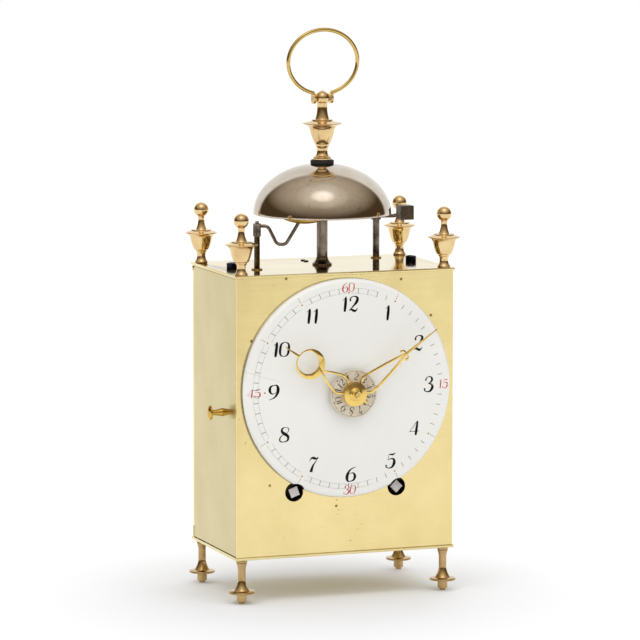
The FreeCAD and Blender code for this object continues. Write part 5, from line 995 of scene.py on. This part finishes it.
# %% Alarm disc and its engraving
ALARM_TALL = 3.4
ALARM_WEIGHT = 0.95
ALARM_FIGURES_AT = 8.9
ALARM_DOTS_AT = 11.35
ALARM_DOT_R = 0.32
ALARM_CIRCLE_R = 11.8
ALARM_CIRCLE_PARTS = 180
ALARM_FIRST = -22.0     # degrees clockwise from the top, place of the 1
CUT_LIFT = 0.02
FLAT_WITHIN = 0.5       # degrees between triangles that make one flat face


def smooth_copy(node, edge=0.0, flat=True):
    """A copy of a solid with its triangles joined, its edges eased and its shading smooth."""
    piece = copy_of(frame["nodes"][node], node + "_metal")
    piece.parent = None
    piece.matrix_world = Matrix.Identity(4)
    piece.hide_set(False)
    select_only(piece)
    with editing():
        bpy.ops.mesh.select_all(action="SELECT")
        bpy.ops.mesh.remove_doubles(threshold=2 * WELD * MM)
        bpy.ops.mesh.dissolve_limited(angle_limit=math.radians(FLAT_WITHIN))
    return soften(piece, edge, flat=flat)


disc = smooth_copy("alarm_disc", 0.12)
fit_piece(disc, "engraved_brass", "alarm_disc")
cuts = []
for hour in range(1, 13):
    turn = ALARM_FIRST + HOUR_ANGLE * (hour - 1)
    x = ALARM_FIGURES_AT * math.sin(math.radians(turn))
    z = ARBOR_Z + ALARM_FIGURES_AT * math.cos(math.radians(turn))
    cuts.append(write_number(str(hour), ALARM_TALL, x, z, ALARM_WEIGHT, turn))
    reach = ALARM_DOTS_AT / ALARM_FIGURES_AT
    cuts.append(dot(ALARM_DOT_R, reach * x, ARBOR_Z + reach * (z - ARBOR_Z)))
edge = flat_ring("cut", ALARM_CIRCLE_R, ALARM_CIRCLE_R + CIRCLE_LINE, ALARM_CIRCLE_PARTS)
cuts.append(set_down(edge, (0, AHEAD_Y, ARBOR_Z), (90, 0, 0)))
engraving = press_on(gather("alarm_engraving", cuts), disc, CUT_LIFT)
fit_piece(engraving, "engraving_wax", body="alarm_disc")
print("alarm disc figures: 12")

# %% [markdown]
# ## Hands, hammers, plates and works
# The shapes of the other pieces are right as they are. Each gets a copy with its loose
# triangles joined, its edges eased by a hair where light would catch them, and smooth
# shading on the round parts, so that bright metal reflects cleanly.

# %% Everything that keeps its solid shape
EASED = {       # pieces of each finish, and how far their edges are eased
    "gilt_hands": {"minute_hand": 0.36, "hour_hand": 0.38},
    "front_brass": {"front_plate": 0.1},
    "rolled_brass": {"base_plate": 0.0, "top_plate": 0.0, "corner_posts": 0.0, "door_hinge_rods": 0.0},
    "door_brass": {"left_door": 0.1, "right_door": 0.1, "back_door": 0.1},
    "ring_brass": {"carrying_ring": 0.0},
    "works_brass": {"alarm_head": 0.1, "hammer_bushes": 0.1, "movement_front_plate": 0.1,
                    "movement_back_plate": 0.1},
    "steel": {"handle_pin": 0.1, "winding_clicks": 0.0, "going_winding_arbor": 0.08,
              "strike_winding_arbor": 0.08, "pallet_anchor": 0.0},
    "dark_steel": {"alarm_arbor": 0.0, "strike_arbor": 0.0},
    "shaded_head_steel": {"strike_head": 0.3},
    "blued_steel": {"plate_screws": 0.08, "going_mainspring": 0.0, "strike_mainspring": 0.0},
}
looks = {node: (finish, edge) for finish, pieces in EASED.items() for node, edge in pieces.items()}
done = {node for node in frame["nodes"] if frame["nodes"][node].hide_render}
for node in frame["nodes"]:
    if node not in done:
        finish, edge = looks.get(node, ("works_brass", 0.0))
        fit_piece(smooth_copy(node, edge, finish != "gilt_hands"), finish, node)
print("pieces with their solid shape:", len(frame["nodes"]) - len(done))

# %% [markdown]
# ## Pins in the front plate
# Six small pins that hold the work behind are filed flush with the front plate. They
# show as round specks of a slightly browner brass.

# %% Flush pins
PIN_R = 0.75
PIN_PROUD = 0.05
PIN_TAPER = 0.85
PIN_SIDES = 24
PIN_PLACES = ((30.7, 166.0), (47.4, 146.4), (-51.8, 137.1), (-32.8, 168.6), (-41.8, 61.4), (-5.1, 48.7))


def flush_pin(x, z):
    piece = new_piece(bpy.ops.mesh.primitive_circle_add, vertices=PIN_SIDES, radius=PIN_R * MM,
                      fill_type="NGON")
    with editing():
        bpy.ops.mesh.extrude_region_move(TRANSFORM_OT_translate={"value": (0, 0, PIN_PROUD * MM)})
        bpy.ops.transform.resize(value=(PIN_TAPER, PIN_TAPER, 1))
    return set_down(piece, (x, FRONT_Y, z), (90, 0, 0))


pins = gather("flush_pins", [flush_pin(x, z) for x, z in PIN_PLACES])
fit_piece(soften(pins, 0.0), "pin_brass", body="case")
print("flush pins:", len(PIN_PLACES))

# %% [markdown]
# ## Studio
# A pale floor, a white surround and two soft lamps light the clock. Bright metal needs
# something dark to reflect or it looks flat, so reflections find white paper only behind
# the clock, a dim room on the camera's side, darkest to the left and right, and one
# broad glow on its ceiling in place of the two lamps.

# %% Floor
FLOOR_WIDE = 8.0
SHADOW_MIDDLE = (-0.020, -0.030, 0.0)
FLOOR_FADE = (0.06, 0.19)       # metres from the clock over which the floor turns plain white
BLACK = (0, 0, 0, 1)
WHITE = (1, 1, 1, 1)


def either_ray(paint):
    """1 for what the camera, a mirror or a clear piece sees, 0 for light that only falls."""
    seen, mirrored, through = [paint.node("LightPath", {}, {}, "Is " + ray + " Ray")
                               for ray in ("Camera", "Glossy", "Transmission")]
    return paint.math("MAXIMUM", paint.math("MAXIMUM", seen, mirrored), through)


def pale_floor():
    floor = new_piece(bpy.ops.mesh.primitive_plane_add, size=FLOOR_WIDE)
    floor.name = "studio_floor"
    with editing():
        bpy.ops.mesh.subdivide(number_cuts=3)
    paint = Paint("floor_paper")
    reach = paint.node("VectorMath", {"operation": "DISTANCE"}, {0: paint.place, 1: SHADOW_MIDDLE}, "Value")
    plain = either_ray(paint) * paint.between(reach, *FLOOR_FADE)
    paper = paint.mix(paint.noise(2.0, 2.0), shade(244, 245, 248), shade(241, 242, 245))
    floor.data.materials.append(paint.finish(
        base_color=paint.mix(plain, paper, BLACK), roughness=0.75,
        emission_color=paint.mix(plain, BLACK, WHITE), emission_strength=1.0))


pale_floor()
print("floor is plain white from", FLOOR_FADE[1], "m")

# %% Surround
SURROUND_LIGHT = 0.86
CAMERA_SIDE = (-0.348, -0.937, 0.0)     # level direction from the clock to the camera
PAPER_EDGE = (0.60, 0.68)               # how far back the white paper begins in reflections
PAPER_RISE = 0.08                       # and how much nearer it hangs overhead
ROOM_RISE = (0.25, 0.85)                # heights between which the room grows light
ROOM_LEAN = 0.25                        # and how much sooner it does so toward the camera
ROOM_SIDE = shade(84, 68, 46)
ROOM_TOP = shade(212, 201, 186)
GLOW_FROM = (-0.144, -0.416, 0.898)     # direction of the lit part of the ceiling
GLOW_EDGE = (0.80, 0.97)                # cosines of the angles over which it lights up
CORE_EDGE = (0.955, 0.99)               # and over which it grows brightest
GLOW = (1.0, 0.97, 0.92, 1)
GLOW_CORE = (1.8, 1.76, 1.7, 1)


def white_surround():
    """White paper behind the clock and, in reflections, a dim room with a lit ceiling."""
    studio = Paint("studio", around=True)
    up = studio.coordinates()[2]
    toward = studio.facing(CAMERA_SIDE)
    overhead = studio.facing(GLOW_FROM)
    paper = studio.between(PAPER_RISE * up - toward, *PAPER_EDGE)
    room = studio.mix(studio.between(up + ROOM_LEAN * toward, *ROOM_RISE), ROOM_SIDE, ROOM_TOP)
    room = studio.mix(studio.between(overhead, *GLOW_EDGE), room, GLOW)
    room = studio.mix(studio.between(overhead, *CORE_EDGE), room, GLOW_CORE)
    mirrored = studio.node("LightPath", {}, {}, "Is Glossy Ray")
    bpy.context.scene.world = studio.finish(
        color=studio.mix((1.0 - paper) * mirrored, WHITE, room),
        strength=SURROUND_LIGHT + (1.0 - SURROUND_LIGHT) * either_ray(studio))


white_surround()
print("surround light:", SURROUND_LIGHT)

# %% Lamps
LAMPS = {"key_lamp": ((-1.12, -0.66, 2.15), 10), "fill_lamp": ((0.47, -1.21, 2.15), 8)}    # place and watts
LAMP_WIDE = 1.3
LAMP_AIM = (0, 0, 0.13)


def soft_lamp(name, at, watts):
    light = bpy.data.lights.new(name, "AREA")
    light.shape = "DISK"
    light.size = LAMP_WIDE
    light.energy = watts
    lamp = bpy.data.objects.new(name, light)
    bpy.context.collection.objects.link(lamp)
    lamp.location = at
    lamp.visible_glossy = False     # metal shows the glow on the ceiling instead
    aim = Vector(LAMP_AIM) - Vector(at)
    lamp.rotation_euler = aim.to_track_quat("-Z", "Y").to_euler()


for name, (at, watts) in LAMPS.items():
    soft_lamp(name, at, watts)
print("lamps:", len(LAMPS))

# %% [markdown]
# ## Camera
# The camera stands well back to the left of the clock and a little above it, with a
# long lens, so that the upright edges stay nearly parallel.

# %% Camera
CAMERA_AT = (-776.41, -2090.83 + CASE_Y, 422.07)
CAMERA_YAW = -0.355083
CAMERA_PITCH = -0.125036
CAMERA_ROLL = -0.000957
LENS = 240.77

camera = bpy.data.objects.new("camera", bpy.data.cameras.new("camera"))
bpy.context.collection.objects.link(camera)
camera.data.lens = LENS
level = Matrix.Rotation(math.pi / 2, 4, "X")    # from looking down to looking ahead
turn = (Matrix.Rotation(CAMERA_YAW, 4, "Z") @ Matrix.Rotation(CAMERA_PITCH, 4, "X")
        @ Matrix.Rotation(CAMERA_ROLL, 4, "Y"))
camera.matrix_world = Matrix.Translation(Vector(CAMERA_AT) * MM) @ turn @ level
bpy.context.scene.camera = camera
bpy.context.scene.view_settings.view_transform = "Standard"
print("camera at", [round(value) for value in CAMERA_AT])

# %% [markdown]
# ## Size
# The dressed clock must fill the same box as its solids.
